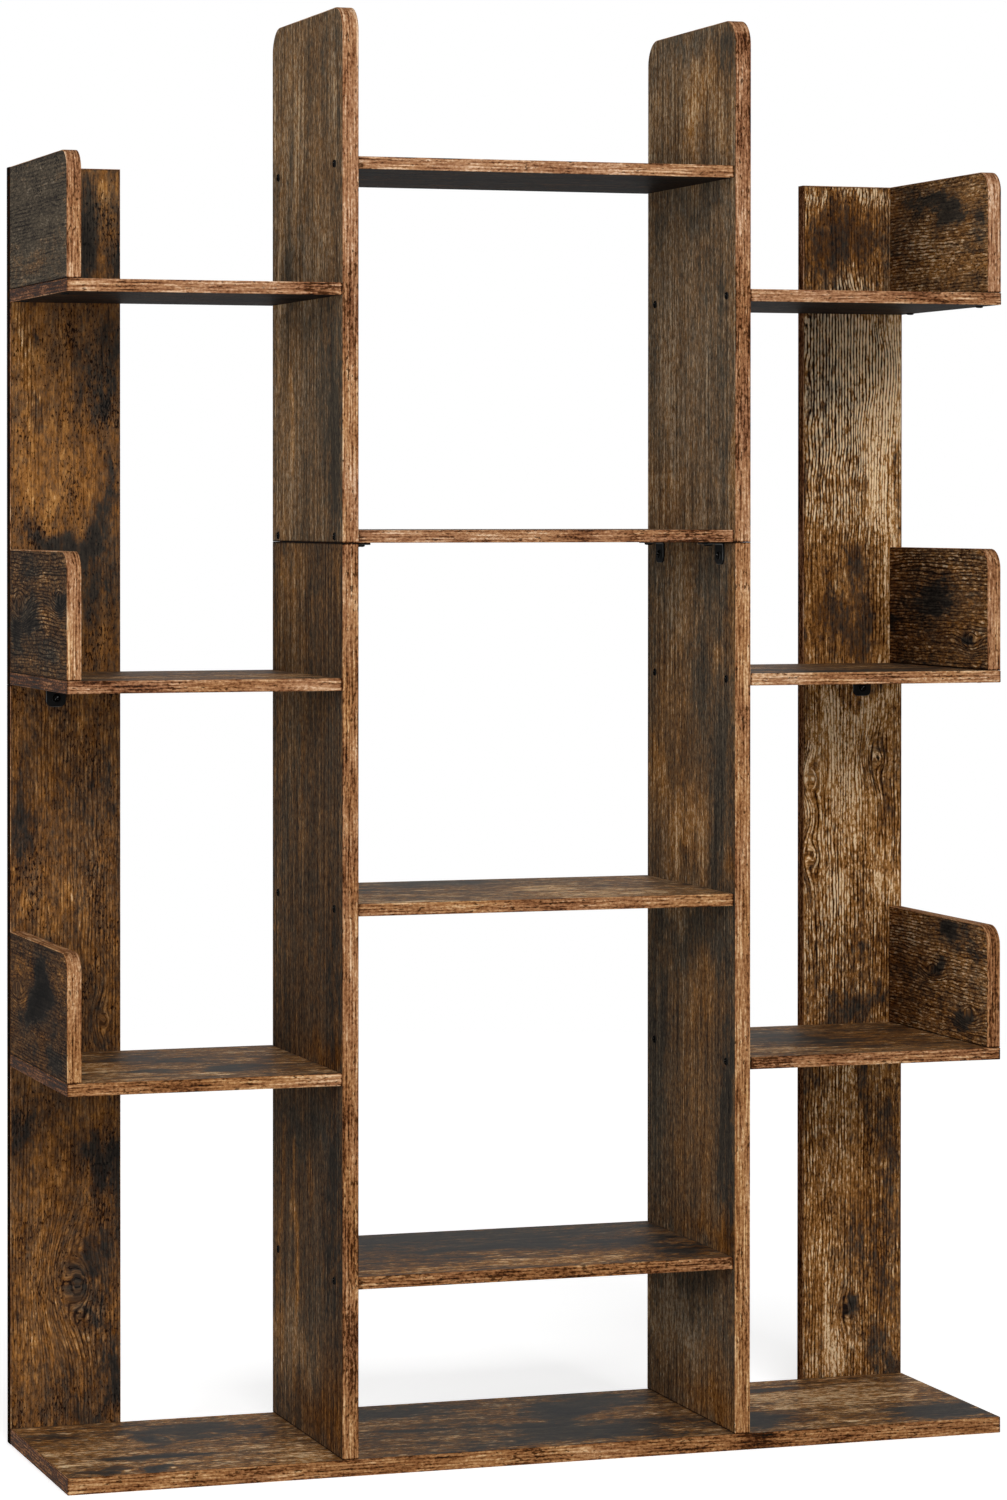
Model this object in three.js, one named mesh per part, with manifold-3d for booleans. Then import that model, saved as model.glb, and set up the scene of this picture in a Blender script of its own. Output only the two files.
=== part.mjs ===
// A tree shaped bookshelf: a trunk of two uprights with shelves between them, and shelves branching
// out on both sides to end panels, all standing on one base board.
// Millimetres, +Z up, X across the front, +Y to the wall. The origin is under the middle of the base.
import * as THREE from 'three';
import { mergeVertices } from 'three/addons/utils/BufferGeometryUtils.js';
import Module from 'manifold-3d';

// Overall outline
const width = 956;
const depth = 250;
const trunkWidth = 418;

// Board thicknesses
const baseThick = 16;
const uprightThick = 16;
const shelfThick = 12;
const endPanelThick = 14;
const backPanelThick = 14;
const jointGap = 0.2;

// Heights: shelf levels are the undersides, measured from the floor
const centreLowestHeight = 177;
const centrePitch = 356;
const centreCount = 4;
const sideLowestHeight = 372.5;
const sidePitch = 376;
const sideCount = 3;
const trunkRiseHeight = 143;
const endPanelHeight = 121;

// The uprights and back panels are in two lengths, which meet at the underside of these shelves
const trunkSplitShelf = 2;
const backSplitShelf = 1;

// Boards
const backPanelWidth = 112;
const trunkCornerRadius = 25;
const endPanelCornerRadius = 20;
const centreSetbackDepth = 4;
const sideSetbackDepth = 1;
const cornerSteps = 5;

// Countersunk screws, driven through the uprights into the ends of the shelves
const screwLength = 46;
const screwTipLength = 5;
const screwRadius = 2;
const screwHeadRadius = 3.8;
const screwRimThick = 0.6;
const screwConeDepth = 2;
const screwEdgeOffset = 21.5;
const screwHoleGap = 0.3;
const screwSides = 10;
const driveWidth = 3.6;
const driveSlotWidth = 0.9;
const driveDepth = 1.2;

// Steel angle brackets under the shelves where the boards are split
const bracketWidth = 20;
const bracketLegLength = 22;
const bracketThick = 2;
const bracketCornerRadius = 6;
const bracketHoleRadius = 2.6;
const bracketHoleOffset = 13.5;
const bracketEdgeOffset = 38;
const bracketEndOffset = 46;
const holeSteps = 5;

// How far a cutting solid reaches past the surface that it cuts
const cutOverrun = 1;

const wasm = await Module();
wasm.setup();

// Derived planes and heights
const front = -depth / 2;
const back = depth / 2;
const boardBack = back - backPanelThick - jointGap;
const trunkOuter = trunkWidth / 2;
const trunkInner = trunkOuter - uprightThick;
const outerEnd = width / 2;
const centreLevel = (index) => centreLowestHeight + index * centrePitch;
const sideLevel = (index) => sideLowestHeight + index * sidePitch;
const trunkTop = centreLevel(centreCount - 1) + shelfThick + trunkRiseHeight;
const backPanelTop = sideLevel(sideCount - 1) + shelfThick + endPanelHeight;
const trunkSplit = centreLevel(trunkSplitShelf);
const backSplit = sideLevel(backSplitShelf);
const sides = [['left', -1], ['right', 1]];

const finishes = {
  trunkWood: { color: 0x4a3b2c, roughness: 0.62, metalness: 0 },
  shelfWood: { color: 0x6f5540, roughness: 0.6, metalness: 0 },
  backWood: { color: 0x8a6237, roughness: 0.62, metalness: 0 },
  endWood: { color: 0x3f342b, roughness: 0.64, metalness: 0 },
  bracketSteel: { color: 0x4b4d50, roughness: 0.42, metalness: 0.9 },
  screwSteel: { color: 0x2b2a2a, roughness: 0.4, metalness: 0.85 },
};

const model = new THREE.Group();

function addPart(name, geometry, finish, parent = model) {
  const mesh = new THREE.Mesh(geometry, new THREE.MeshStandardMaterial(finishes[finish]));
  mesh.name = name;
  parent.add(mesh);
  return mesh;
}

// Turns a closed geometry into a solid that can be cut and joined.
function toSolid(geometry) {
  const bare = geometry.index ? geometry.toNonIndexed() : geometry.clone();
  bare.deleteAttribute('normal');
  bare.deleteAttribute('uv');
  const merged = mergeVertices(bare);
  return new wasm.Manifold(new wasm.Mesh({
    numProp: 3,
    vertProperties: new Float32Array(merged.attributes.position.array),
    triVerts: new Uint32Array(merged.index.array),
  }));
}

function toGeometry(solid) {
  const mesh = solid.getMesh();
  const geometry = new THREE.BufferGeometry();
  geometry.setAttribute('position', new THREE.BufferAttribute(new Float32Array(mesh.vertProperties), 3));
  geometry.setIndex(new THREE.BufferAttribute(new Uint32Array(mesh.triVerts), 1));
  geometry.computeVertexNormals();
  return geometry;
}

// A box given by its lowest and highest corners.
function boxBetween(low, high) {
  const size = high.map((value, axis) => value - low[axis]);
  const geometry = new THREE.BoxGeometry(...size);
  return geometry.translate(...low.map((value, axis) => value + size[axis] / 2));
}

// A board standing on edge in the YZ plane, x from xLow to xHigh, with its top corners rounded.
function uprightBoard(xLow, xHigh, yLow, yHigh, zLow, zHigh, frontRadius, backRadius) {
  const outline = new THREE.Shape();
  outline.moveTo(yLow, zLow);
  outline.lineTo(yHigh, zLow);
  if (backRadius > 0) {
    outline.lineTo(yHigh, zHigh - backRadius);
    outline.absarc(yHigh - backRadius, zHigh - backRadius, backRadius, 0, Math.PI / 2, false);
  } else {
    outline.lineTo(yHigh, zHigh);
  }
  if (frontRadius > 0) {
    outline.lineTo(yLow + frontRadius, zHigh);
    outline.absarc(yLow + frontRadius, zHigh - frontRadius, frontRadius, Math.PI / 2, Math.PI, false);
  } else {
    outline.lineTo(yLow, zHigh);
  }
  outline.closePath();
  const settings = { depth: xHigh - xLow, bevelEnabled: false, curveSegments: cornerSteps };
  const geometry = new THREE.ExtrudeGeometry(outline, settings);
  // The outline's own x, y and depth become Y, Z and X.
  geometry.applyMatrix4(new THREE.Matrix4().makeBasis(
    new THREE.Vector3(0, 1, 0),
    new THREE.Vector3(0, 0, 1),
    new THREE.Vector3(1, 0, 0),
  ));
  return geometry.translate(xLow, 0, 0);
}

// The screw's outline turned round its axis. It points along -Y from its head at the origin, and
// grows by the given clearance where it makes the hole.
function screwTurned(clearance) {
  const headReach = clearance > 0 ? cutOverrun : 0;
  const coneEnd = screwRimThick + screwConeDepth;
  const profile = [
    [0, -screwLength - clearance],
    [screwRadius + clearance, -screwLength + screwTipLength - clearance],
    [screwRadius + clearance, -coneEnd - clearance],
    [screwHeadRadius + clearance, -screwRimThick - clearance],
    [screwHeadRadius + clearance, headReach],
    [0, headReach],
  ];
  return new THREE.LatheGeometry(profile.map((point) => new THREE.Vector2(...point)), screwSides);
}

function driveBar(along, across) {
  return toSolid(boxBetween(
    [-along / 2, -driveDepth, -across / 2],
    [along / 2, cutOverrun, across / 2],
  ));
}

const screwSolid = toSolid(screwTurned(0))
  .subtract(driveBar(driveWidth, driveSlotWidth))
  .subtract(driveBar(driveSlotWidth, driveWidth));
const screwHoleSolid = toSolid(screwTurned(screwHoleGap));

// Puts a screw shape in place: its head at the point, and its tip towards +X or -X.
function placeScrew(solid, [x, y, z], towards) {
  return solid.rotate([0, 0, towards * 90]).translate([x, y, z]);
}

// Every screw: its name, where its head is, and which way it is driven. Each pair holds one end of
// a shelf, at the middle of its thickness and the same way in from its front and back edges.
const screws = [];
function addScrewPair(label, x, setback, level, towards) {
  const z = level + shelfThick / 2;
  screws.push({ name: `screw_${label}_front`, at: [x, front + setback + screwEdgeOffset, z], towards });
  screws.push({ name: `screw_${label}_rear`, at: [x, boardBack - screwEdgeOffset, z], towards });
}
for (const [side, sign] of sides) {
  for (let index = 0; index < centreCount; index++) {
    const label = `centre_${side}_${index + 1}`;
    addScrewPair(label, sign * trunkOuter, centreSetbackDepth, centreLevel(index), -sign);
  }
  for (let index = 0; index < sideCount; index++) {
    const label = `side_${side}_${index + 1}`;
    addScrewPair(label, sign * trunkInner, sideSetbackDepth, sideLevel(index), sign);
  }
}

// A board with the holes of the screws that pass within its own box.
function drilled(geometry) {
  geometry.computeBoundingBox();
  const box = geometry.boundingBox.clone().expandByScalar(cutOverrun);
  let solid = toSolid(geometry);
  for (const screw of screws) {
    const head = new THREE.Vector3(...screw.at);
    const tip = head.clone().setX(head.x + screw.towards * screwLength);
    if (box.containsPoint(head) || box.containsPoint(tip)) {
      solid = solid.subtract(placeScrew(screwHoleSolid, screw.at, screw.towards));
    }
  }
  return toGeometry(solid);
}

function addBase() {
  const geometry = boxBetween([-outerEnd, front, 0], [outerEnd, boardBack, baseThick]);
  addPart('base_board', geometry, 'shelfWood');
}

function addUprights() {
  const floor = baseThick + jointGap;
  for (const [side, sign] of sides) {
    const xLow = Math.min(sign * trunkInner, sign * trunkOuter);
    const xHigh = xLow + uprightThick;
    const lower = uprightBoard(xLow, xHigh, front, boardBack, floor, trunkSplit - jointGap, 0, 0);
    const upper = uprightBoard(
      xLow, xHigh, front, boardBack, trunkSplit, trunkTop, trunkCornerRadius, trunkCornerRadius,
    );
    addPart(`upright_${side}_lower`, drilled(lower), 'trunkWood');
    addPart(`upright_${side}_upper`, drilled(upper), 'trunkWood');
  }
}

function addCentreShelves() {
  const reach = trunkInner - jointGap;
  for (let index = 0; index < centreCount; index++) {
    const level = centreLevel(index);
    const low = [-reach, front + centreSetbackDepth, level];
    const high = [reach, boardBack, level + shelfThick];
    addPart(`centre_shelf_${index + 1}`, drilled(boxBetween(low, high)), 'shelfWood');
  }
}

function addSideShelves() {
  const inner = trunkOuter + jointGap;
  for (const [side, sign] of sides) {
    for (let index = 0; index < sideCount; index++) {
      const level = sideLevel(index);
      const low = [sign > 0 ? inner : -outerEnd, front + sideSetbackDepth, level];
      const high = [sign > 0 ? outerEnd : -inner, boardBack, level + shelfThick];
      addPart(`side_shelf_${side}_${index + 1}`, drilled(boxBetween(low, high)), 'shelfWood');
    }
  }
}

// The end panels stand on the outer ends of the side shelves.
function addEndPanels() {
  for (const [side, sign] of sides) {
    for (let index = 0; index < sideCount; index++) {
      const bottom = sideLevel(index) + shelfThick + jointGap;
      const top = sideLevel(index) + shelfThick + endPanelHeight;
      const xLow = sign > 0 ? outerEnd - endPanelThick : -outerEnd;
      const xHigh = xLow + endPanelThick;
      const yLow = front + sideSetbackDepth;
      const panel = uprightBoard(xLow, xHigh, yLow, boardBack, bottom, top, endPanelCornerRadius, 0);
      addPart(`end_panel_${side}_${index + 1}`, panel, 'endWood');
    }
  }
}

// The back panels stand on the floor behind the base, and carry the outer ends of the side shelves.
function addBackPanels() {
  for (const [side, sign] of sides) {
    const xLow = sign > 0 ? outerEnd - backPanelWidth : -outerEnd;
    const xHigh = xLow + backPanelWidth;
    const yLow = back - backPanelThick;
    const lower = boxBetween([xLow, yLow, 0], [xHigh, back, backSplit - jointGap]);
    const upper = boxBetween([xLow, yLow, backSplit], [xHigh, back, backPanelTop]);
    addPart(`back_panel_${side}_lower`, lower, 'backWood');
    addPart(`back_panel_${side}_upper`, upper, 'backWood');
  }
}

// One leg of a bracket, flat in the XY plane with its fold along the X axis and its free end at
// +Y, rounded at the free corners and with one hole.
function bracketLegSolid() {
  const half = bracketWidth / 2;
  const outline = new THREE.Shape();
  const arcX = half - bracketCornerRadius;
  const arcY = bracketLegLength - bracketCornerRadius;
  outline.moveTo(-half, 0);
  outline.lineTo(half, 0);
  outline.lineTo(half, arcY);
  outline.absarc(arcX, arcY, bracketCornerRadius, 0, Math.PI / 2, false);
  outline.lineTo(-arcX, bracketLegLength);
  outline.absarc(-arcX, arcY, bracketCornerRadius, Math.PI / 2, Math.PI, false);
  outline.closePath();
  const hole = new THREE.Path();
  hole.absarc(0, bracketHoleOffset, bracketHoleRadius, 0, Math.PI * 2, true);
  outline.holes.push(hole);
  const settings = { depth: bracketThick, bevelEnabled: false, curveSegments: holeSteps };
  return toSolid(new THREE.ExtrudeGeometry(outline, settings));
}

// A whole bracket: its fold at the origin along X, one leg lying under the shelf towards -Y and
// the other hanging down on the board behind it, with its outer faces on the planes y = 0 and z = 0.
function bracketGeometry() {
  const leg = bracketLegSolid();
  const top = leg.rotate([180, 0, 0]);
  const hanging = leg.rotate([-90, 0, 0]).translate([0, -bracketThick, 0]);
  return toGeometry(top.add(hanging));
}

function addBracket(name, x, y, level, turn) {
  const holder = new THREE.Group();
  holder.position.set(x, y, level - jointGap);
  holder.rotation.z = turn;
  addPart(name, bracketGeometry(), 'bracketSteel', holder);
  model.add(holder);
}

function addBrackets() {
  const frontY = front + bracketEdgeOffset;
  const rearY = boardBack - bracketEdgeOffset;
  for (const [side, sign] of sides) {
    const face = sign * (trunkInner - jointGap);
    addBracket(`bracket_centre_${side}_front`, face, frontY, trunkSplit, -sign * Math.PI / 2);
    addBracket(`bracket_centre_${side}_rear`, face, rearY, trunkSplit, -sign * Math.PI / 2);
    const x = sign * (outerEnd - bracketEndOffset);
    addBracket(`bracket_side_${side}`, x, back - backPanelThick - jointGap, backSplit, 0);
  }
}

function addScrews() {
  for (const screw of screws) {
    addPart(screw.name, toGeometry(placeScrew(screwSolid, screw.at, screw.towards)), 'screwSteel');
  }
}

addBase();
addUprights();
addCentreShelves();
addSideShelves();
addEndPanels();
addBackPanels();
addBrackets();
addScrews();

export default model;
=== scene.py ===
"""Tree shaped bookshelf: the visible model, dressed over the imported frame.

Boards of rustic printed wood with edge strips, countersunk trunk screws, steel
angle brackets with pan head screws, and a pale stage with soft light.
Lengths are in metres, except where a comment or a name's end says mm.
"""

import math
from collections import namedtuple
from functools import partial

import bpy
import numpy as np
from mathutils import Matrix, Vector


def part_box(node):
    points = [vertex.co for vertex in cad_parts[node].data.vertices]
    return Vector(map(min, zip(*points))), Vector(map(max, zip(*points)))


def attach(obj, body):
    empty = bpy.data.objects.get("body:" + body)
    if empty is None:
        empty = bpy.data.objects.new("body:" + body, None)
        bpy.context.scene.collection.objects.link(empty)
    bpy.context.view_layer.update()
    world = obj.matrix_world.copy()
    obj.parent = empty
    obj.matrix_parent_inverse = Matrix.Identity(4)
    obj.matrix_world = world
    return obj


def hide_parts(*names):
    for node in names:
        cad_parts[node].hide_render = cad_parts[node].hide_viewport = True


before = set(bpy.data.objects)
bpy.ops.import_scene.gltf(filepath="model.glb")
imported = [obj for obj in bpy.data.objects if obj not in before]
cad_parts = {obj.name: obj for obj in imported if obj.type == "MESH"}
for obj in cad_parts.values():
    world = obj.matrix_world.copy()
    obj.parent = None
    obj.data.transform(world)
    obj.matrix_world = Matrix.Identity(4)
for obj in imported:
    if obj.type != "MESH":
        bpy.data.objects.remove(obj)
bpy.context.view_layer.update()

bl_info = {
    "name": "Tree Shaped Bookshelf",
    "version": (1, 0, 0),
    "blender": (4, 5, 0),
    "location": "3D View > Sidebar > Bookshelf",
    "description": "Makes the boards, screws, brackets and stage of a tree shaped bookshelf",
    "category": "Add Mesh",
}

BODY = "root"
MM = 0.001
X, Y, Z = 0, 1, 2
SEED = 20
SQUARE = (0, 0, 0, 0)

# Steps in the pattern that give every board, and its low face, a part of its own.
GRAIN_SHIFT = (1.7, 2.3)
STRIP_SHIFT = (3.1, 0.013)
LOW_FACE_SHIFT_MM = 700.0

# How far a knot is drawn out along the grain, and how wide, in its radii, the grain runs
# round it and its dark core is.
KNOT_SQUEEZE, KNOT_SWAY, KNOT_CORE = 0.55, 1.35, 0.45
KNOT_RIDGE, KNOT_DARK = 0.07, 0.07

# How far the ripples move the outline of a stroke, in their wavelengths, and how much
# longer they are along the grain than across it (1 over the squeeze).
RIPPLE_ALONG, RIPPLE_ACROSS, RIPPLE_SQUEEZE = 0.11, 0.06, 0.45

# Tone of a strip in a joint, and how near the end of its axis a point belongs to a joint,
# to an outer side painted darker (partly painted shade) or to the front edge.
JOINT_TONE = -0.62
JOINT_REACH, SHADED_SIDE_REACH, FRONT_REACH = 1.0 * MM, 0.3 * MM, 0.003

# How yellow the strips are: at the floor, and how it rises with each metre of height.
BLUSH_LOW, BLUSH_RISE = 0.36, 0.30

# Height of the bumps of a print, and the width of the band beside an eased edge that
# keeps its shading off the flat part.
BUMP_HEIGHT = 0.0004
EDGE_GUARD = 0.0004
FLOOR_HALF = 12.0

# Screws: countersunk ones have a shank, a cross and, where they are hidden, a head of
# these radii, and pan head ones a shank and a cross. Then lengths, how far a screw is
# from a board's front and rear edges, and half the distance of two side by side.
SHANK, CROSS, HEAD_RADIUS = 0.002, 0.0021, 0.0038
PAN_SHANK, PAN_CROSS = 0.0018, 0.0024
FOOT_SCREW, PANEL_SCREW, WALL_SCREW, SHELF_SCREW = 0.045, 0.040, 0.013, 0.011
SCREW_INSET, SCREW_SPREAD = 0.035, 0.030

# The cross in a screw head, in its own radii: how far its bars fade at their ends, half
# their width, and how far they fade at their sides.
BAR_END, BAR_WIDTH, BAR_SIDE = 0.25, 0.42, 0.20


def linear(red, green, blue):
    """A colour given as 0 to 255 on screen, as the linear light that shaders use."""
    screen = np.array([red, green, blue]) / 255.0
    light = np.where(screen <= 0.04045, screen / 12.92, ((screen + 0.055) / 1.055) ** 2.4)
    return tuple(float(v) for v in light)


# The print of the faces that the photograph shows.
# A stroke is a soft oval in the board's own directions, with lengths in mm: (along,
# across, half length, half width, tone, warmth, ridge). It makes its place lighter or
# darker, warmer or greyer, and more or less ridged than the board. Along is z on uprights
# and back panels, x on shelves and base, y on end panels. A knot is (along, across,
# radius). In the tables tone, warmth and ridge are hundredths, and no ridge means 0.
# Some strokes on the uprights are painted shade under shelves and near the base, noted where they
# stand.
Print = namedtuple("Print", "tone warmth ridge strokes knots")


def seen(tone, warmth, ridge, *strokes, knots=()):
    """A painted print, from a row of hundredths."""
    rows = [(*row[:4], *(part / 100 for part in (*row[4:], 0)[:3])) for row in strokes]
    return Print(tone / 100, warmth / 100, ridge / 100, rows, knots)


SEEN = {
    "back_panel_left_upper": seen(
        2, 68, 5, (1205, -402, 36, 12, -28, -50), (1165, -372, 22, 7, -24, -50),
        (1180, -384, 40, 7, 12, 10), (1245, -392, 12, 10, 12, 10), (1078, -388, 26, 20, -13, -28),
        (1040, -386, 22, 19, -11, -24), (1070, -468, 50, 14, 6, 15, 25),
        (1083, -451, 8, 2, -55, -20), (1010, -464, 13, 10, -24, -20, 10),
        (1052, -424, 40, 16, 2, 0), (950, -440, 44, 34, 7, 8), (930, -410, 30, 24, 7, 10),
        (947, -377, 26, 7, -16, -15), (975, -384, 40, 18, -5, -10), (897, -448, 10, 12, -26, -30),
        (884, -415, 14, 20, -28, -35), (905, -392, 12, 10, -14, -20), (900, -428, 6, 8, 12, 10),
        (850, -388, 46, 24, -13, -26), (830, -440, 50, 30, -10, -20), (776, -388, 20, 24, 5, 15),
        (1228, -384, 32, 16, 10, -25), (1085, -424, 30, 12, 9, 0), (1082, -464, 30, 12, -8, 0),
        (1013, -384, 28, 16, -11, -10), (945, -384, 30, 14, -7, 0)),
    "back_panel_left_lower": seen(
        -5, 67, 14, (700, -440, 40, 26, 1, 7, 10), (735, -385, 12, 14, 8, 7),
        (600, -460, 42, 16, -26, -28), (620, -405, 60, 14, -9, -21, 10),
        (640, -378, 70, 8, -12, -14, 10), (565, -452, 26, 16, 15, 7), (545, -400, 60, 8, 4, 0, 8),
        (520, -420, 18, 22, 6, 7), (470, -382, 46, 12, 1, 7, 10), (425, -392, 34, 14, -12, -14),
        (400, -380, 14, 16, -15, -28), (340, -445, 34, 20, -13, -10),
        (310, -465, 18, 10, -22, -28), (345, -400, 26, 18, 4, 7), (285, -390, 16, 26, -26, -35),
        (265, -440, 26, 20, 4, 7), (230, -420, 50, 40, 4, 7), (250, -372, 40, 6, -15, -21),
        (190, -385, 24, 16, -18, -21), (150, -455, 60, 14, 6, 7, 10),
        (155, -410, 22, 20, -14, -20, 10), (110, -400, 26, 26, 4, 7, 15), (60, -455, 40, 12, 9, 7),
        (42, -420, 26, 16, -8, -20), (35, -380, 20, 14, -26, -35), (75, -378, 22, 10, -14, -21),
        (385, -458, 34, 16, 14, 10), (245, -384, 36, 16, -11, -5), (160, -380, 34, 12, -8, -5),
        (105, -384, 36, 16, -19, -20), (525, -460, 34, 14, 8, 0), (660, -462, 30, 12, -5, 0),
        knots=[(155, -410, 19), (415, -382, 7)]),
    "back_panel_right_upper": seen(
        8, 80, 18, (1250, 420, 7, 64, 16, -10, 30), (1205, 396, 34, 36, -26, 5, -10),
        (1185, 430, 44, 24, -16, 10), (1200, 466, 54, 8, 14, 5), (1228, 370, 24, 4, 16, 0, 20),
        (1104, 394, 30, 32, 16, -30, 90), (1046, 384, 22, 20, -10, -40, 75),
        (1060, 410, 50, 22, 2, -10, 80), (1076, 438, 50, 20, -3, 0, 70),
        (1060, 467, 66, 10, 18, 5, 30), (985, 398, 38, 34, 6, 0, 55), (962, 454, 70, 17, 31, 20),
        (915, 400, 20, 40, 0, 0, 30), (868, 429, 20, 10, -28, -25), (862, 392, 28, 26, -4, 5, 5),
        (800, 384, 44, 20, -8, 15), (800, 436, 50, 7, -18, -10), (815, 462, 44, 11, 10, 10),
        (770, 446, 12, 30, 10, 10), (1092, 459, 6, 3, -60, -40), (1086, 428, 34, 20, 28, -10),
        (1088, 462, 36, 14, 30, -8), (1014, 424, 34, 60, 7, 0), (945, 382, 30, 16, -13, 0),
        (875, 461, 28, 14, 24, 0), (872, 420, 26, 16, -9, 0), (800, 414, 34, 38, -20, 5, -5),
        (1150, 386, 26, 14, -7, 0)),
    "back_panel_right_lower": seen(
        8, 91, 22, (735, 430, 12, 46, -20, -20), (715, 400, 24, 18, 14, 0, 10),
        (700, 450, 30, 18, 10, 0), (660, 450, 16, 16, -26, -20, 20), (620, 420, 40, 30, 14, 10),
        (530, 452, 46, 14, 12, 0), (545, 410, 36, 14, 8, 0, 20), (500, 395, 30, 20, 2, 0, 20),
        (440, 400, 46, 26, -14, -10, 15), (470, 440, 34, 14, -8, 0, 10),
        (400, 430, 20, 40, -24, -30), (330, 378, 34, 8, -24, -30), (340, 410, 24, 14, 5, 10, 10),
        (315, 431, 30, 4, -40, -40), (280, 455, 50, 14, -16, -20), (260, 395, 46, 20, -6, 0, 10),
        (225, 425, 24, 12, 14, 10), (170, 455, 60, 14, 0, 0), (160, 385, 34, 12, 16, 10),
        (130, 430, 26, 14, -12, -10), (85, 415, 12, 8, -44, -50), (90, 392, 34, 9, 20, 10),
        (55, 405, 30, 12, 22, 10), (45, 445, 26, 16, -30, -40), (30, 470, 22, 8, -30, -40),
        (90, 460, 20, 10, 5, 0), (725, 440, 22, 40, 18, 0), (665, 396, 34, 36, 13, 0),
        (600, 384, 34, 14, 8, 0), (595, 458, 34, 20, -22, 0), (525, 424, 32, 14, 10, 0),
        (452, 455, 26, 20, -8, 0), (325, 396, 50, 28, 14, 0), (245, 444, 34, 34, -10, 0),
        (178, 410, 34, 56, -13, 0), (170, 462, 44, 14, -13, -5), (105, 384, 30, 14, -20, 0),
        (104, 464, 34, 14, -24, -10), (104, 424, 26, 14, 9, 0), (40, 420, 24, 60, 9, 0),
        knots=[(640, 377, 8), (560, 376, 9), (660, 452, 9), (85, 415, 6)]),
    "upright_left_upper": seen(
        15, 26, 10, (1330, 46, 60, 30, 2, 10), (1370, -54, 26, 40, -5, 0),
        (1320, -109, 70, 8, -12, -10, 10), (1345, -94, 46, 6, 8, 10, 10),
        (1320, 91, 50, 8, 5, 10, 10), (1220, 26, 60, 10, 8, 21), (1180, 86, 60, 5, 14, 30, 10),
        (1260, 46, 30, 8, -8, -21), (1165, 51, 24, 22, -3, -30), (1170, 6, 16, 14, -2, -20),
        (1240, -44, 60, 22, 5, 10), (1180, -74, 36, 24, 4, 10, 10), (1050, 91, 60, 6, 8, 21),
        (1000, 46, 90, 5, 12, 36), (980, 71, 60, 8, 4, 10), (1060, 26, 60, 12, 4, 10),
        (1040, -34, 70, 36, -4, -10), (960, -24, 40, 30, -2, 0), (1000, -94, 80, 20, -2, 0),
        # (1105, -14, ...) is painted shade: a dark band under the side shelf.
        (912, 76, 16, 26, 5, 21), (1105, -14, 14, 100, -6, -10), (1010, -98, 130, 34, -16, -8),
        (1225, -100, 30, 34, -9, 0), (1190, 76, 70, 34, 11, 0), (1295, 10, 44, 50, 7, 0),
        (1160, -8, 34, 40, 12, 0), (950, -100, 50, 28, -7, 0)),
    "upright_left_lower": seen(
        -6, 23, 10, (860, 56, 20, 50, 5, 21), (850, -94, 30, 30, 4, 10), (790, -14, 36, 70, 0, 0),
        (810, -109, 40, 12, -4, 10), (700, 36, 50, 40, -2, -10), (640, 6, 80, 14, 5, 10),
        (600, 71, 60, 12, -4, -10), (560, -44, 60, 10, 5, 10), (540, 96, 50, 6, 5, 10),
        (440, 36, 60, 8, 4, 10), (480, -74, 60, 30, -2, 0), (420, -99, 46, 6, 8, 30),
        # (395, -74, ...) is painted shade with warm bounced light, where the upright meets the
        # side shelf.
        (395, -74, 14, 70, -4, 51), (315, -14, 20, 110, -5, -21), (240, 76, 60, 7, 6, 30),
        (210, 31, 110, 5, 14, 41), (270, -14, 40, 6, 5, 30), (160, 86, 60, 8, 4, 30),
        (200, -84, 60, 40, -2, 0, 10), (120, -44, 60, 40, -2, -10), (75, 56, 40, 40, 4, -10),
        # (45, -64, ...) and (80, -104, ...) are painted shade with warm bounced light, where the
        # upright meets the base.
        (45, -64, 22, 80, -12, 50), (80, -104, 26, 30, -2, 41), (800, 46, 100, 60, 22, -5),
        (655, 50, 60, 60, 8, -3), (455, -98, 120, 24, -12, 0), (500, 85, 70, 24, 7, 0),
        (235, -98, 130, 28, -16, 5), (98, 30, 42, 80, 22, -10)),
    "upright_right_upper": seen(
        18, 29, 12, (1385, -14, 16, 80, -7, -25), (1345, -24, 34, 36, 9, 33),
        (1310, -14, 20, 20, 10, 42), (1350, -74, 30, 24, 5, 17), (1320, 76, 40, 24, 2, 8),
        # (1225, -14, ...) is painted shade: a dark band under the shelf.
        (1300, -94, 24, 22, 6, 25), (1225, -14, 20, 110, -6, -20), (1100, 86, 110, 18, -5, -17),
        (1050, 46, 120, 8, 5, 0, 20), (1040, 26, 90, 5, -7, 0, 10), (1000, 61, 80, 8, 6, 17),
        (1100, -54, 90, 50, -3, -8), (980, -74, 80, 36, -2, -8), (930, 56, 30, 46, 4, 25),
        (1000, -126, 90, 8, 3, 33), (1368, -98, 30, 28, -20, -10), (1155, -80, 30, 50, -11, 0),
        (985, -98, 100, 24, -6, 0)),
    "upright_right_lower": seen(
        5, 25, 10, (860, -54, 26, 40, 0, -20), (850, 76, 26, 24, 0, -20), (830, 6, 30, 20, 2, 8),
        (775, -80, 14, 12, 12, 42), (820, -118, 60, 12, -1, 30), (740, 46, 50, 34, 3, 17),
        (760, -34, 40, 20, -6, -25), (640, 81, 34, 22, 9, 42), (610, 16, 46, 34, 10, 32),
        (600, -44, 50, 24, 4, 20), (640, -79, 90, 26, -12, -33), (575, 6, 9, 5, -26, -17),
        (690, -4, 30, 40, -3, 8), (560, -114, 14, 16, -4, 50), (500, -14, 26, 100, -7, -25),
        (440, -54, 40, 34, 6, 25), (400, -14, 60, 36, 0, 12), (300, -14, 60, 34, 0, 12),
        (250, -44, 50, 14, 3, 25), (260, 16, 40, 10, 2, 20), (360, 86, 90, 20, -9, -33),
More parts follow.
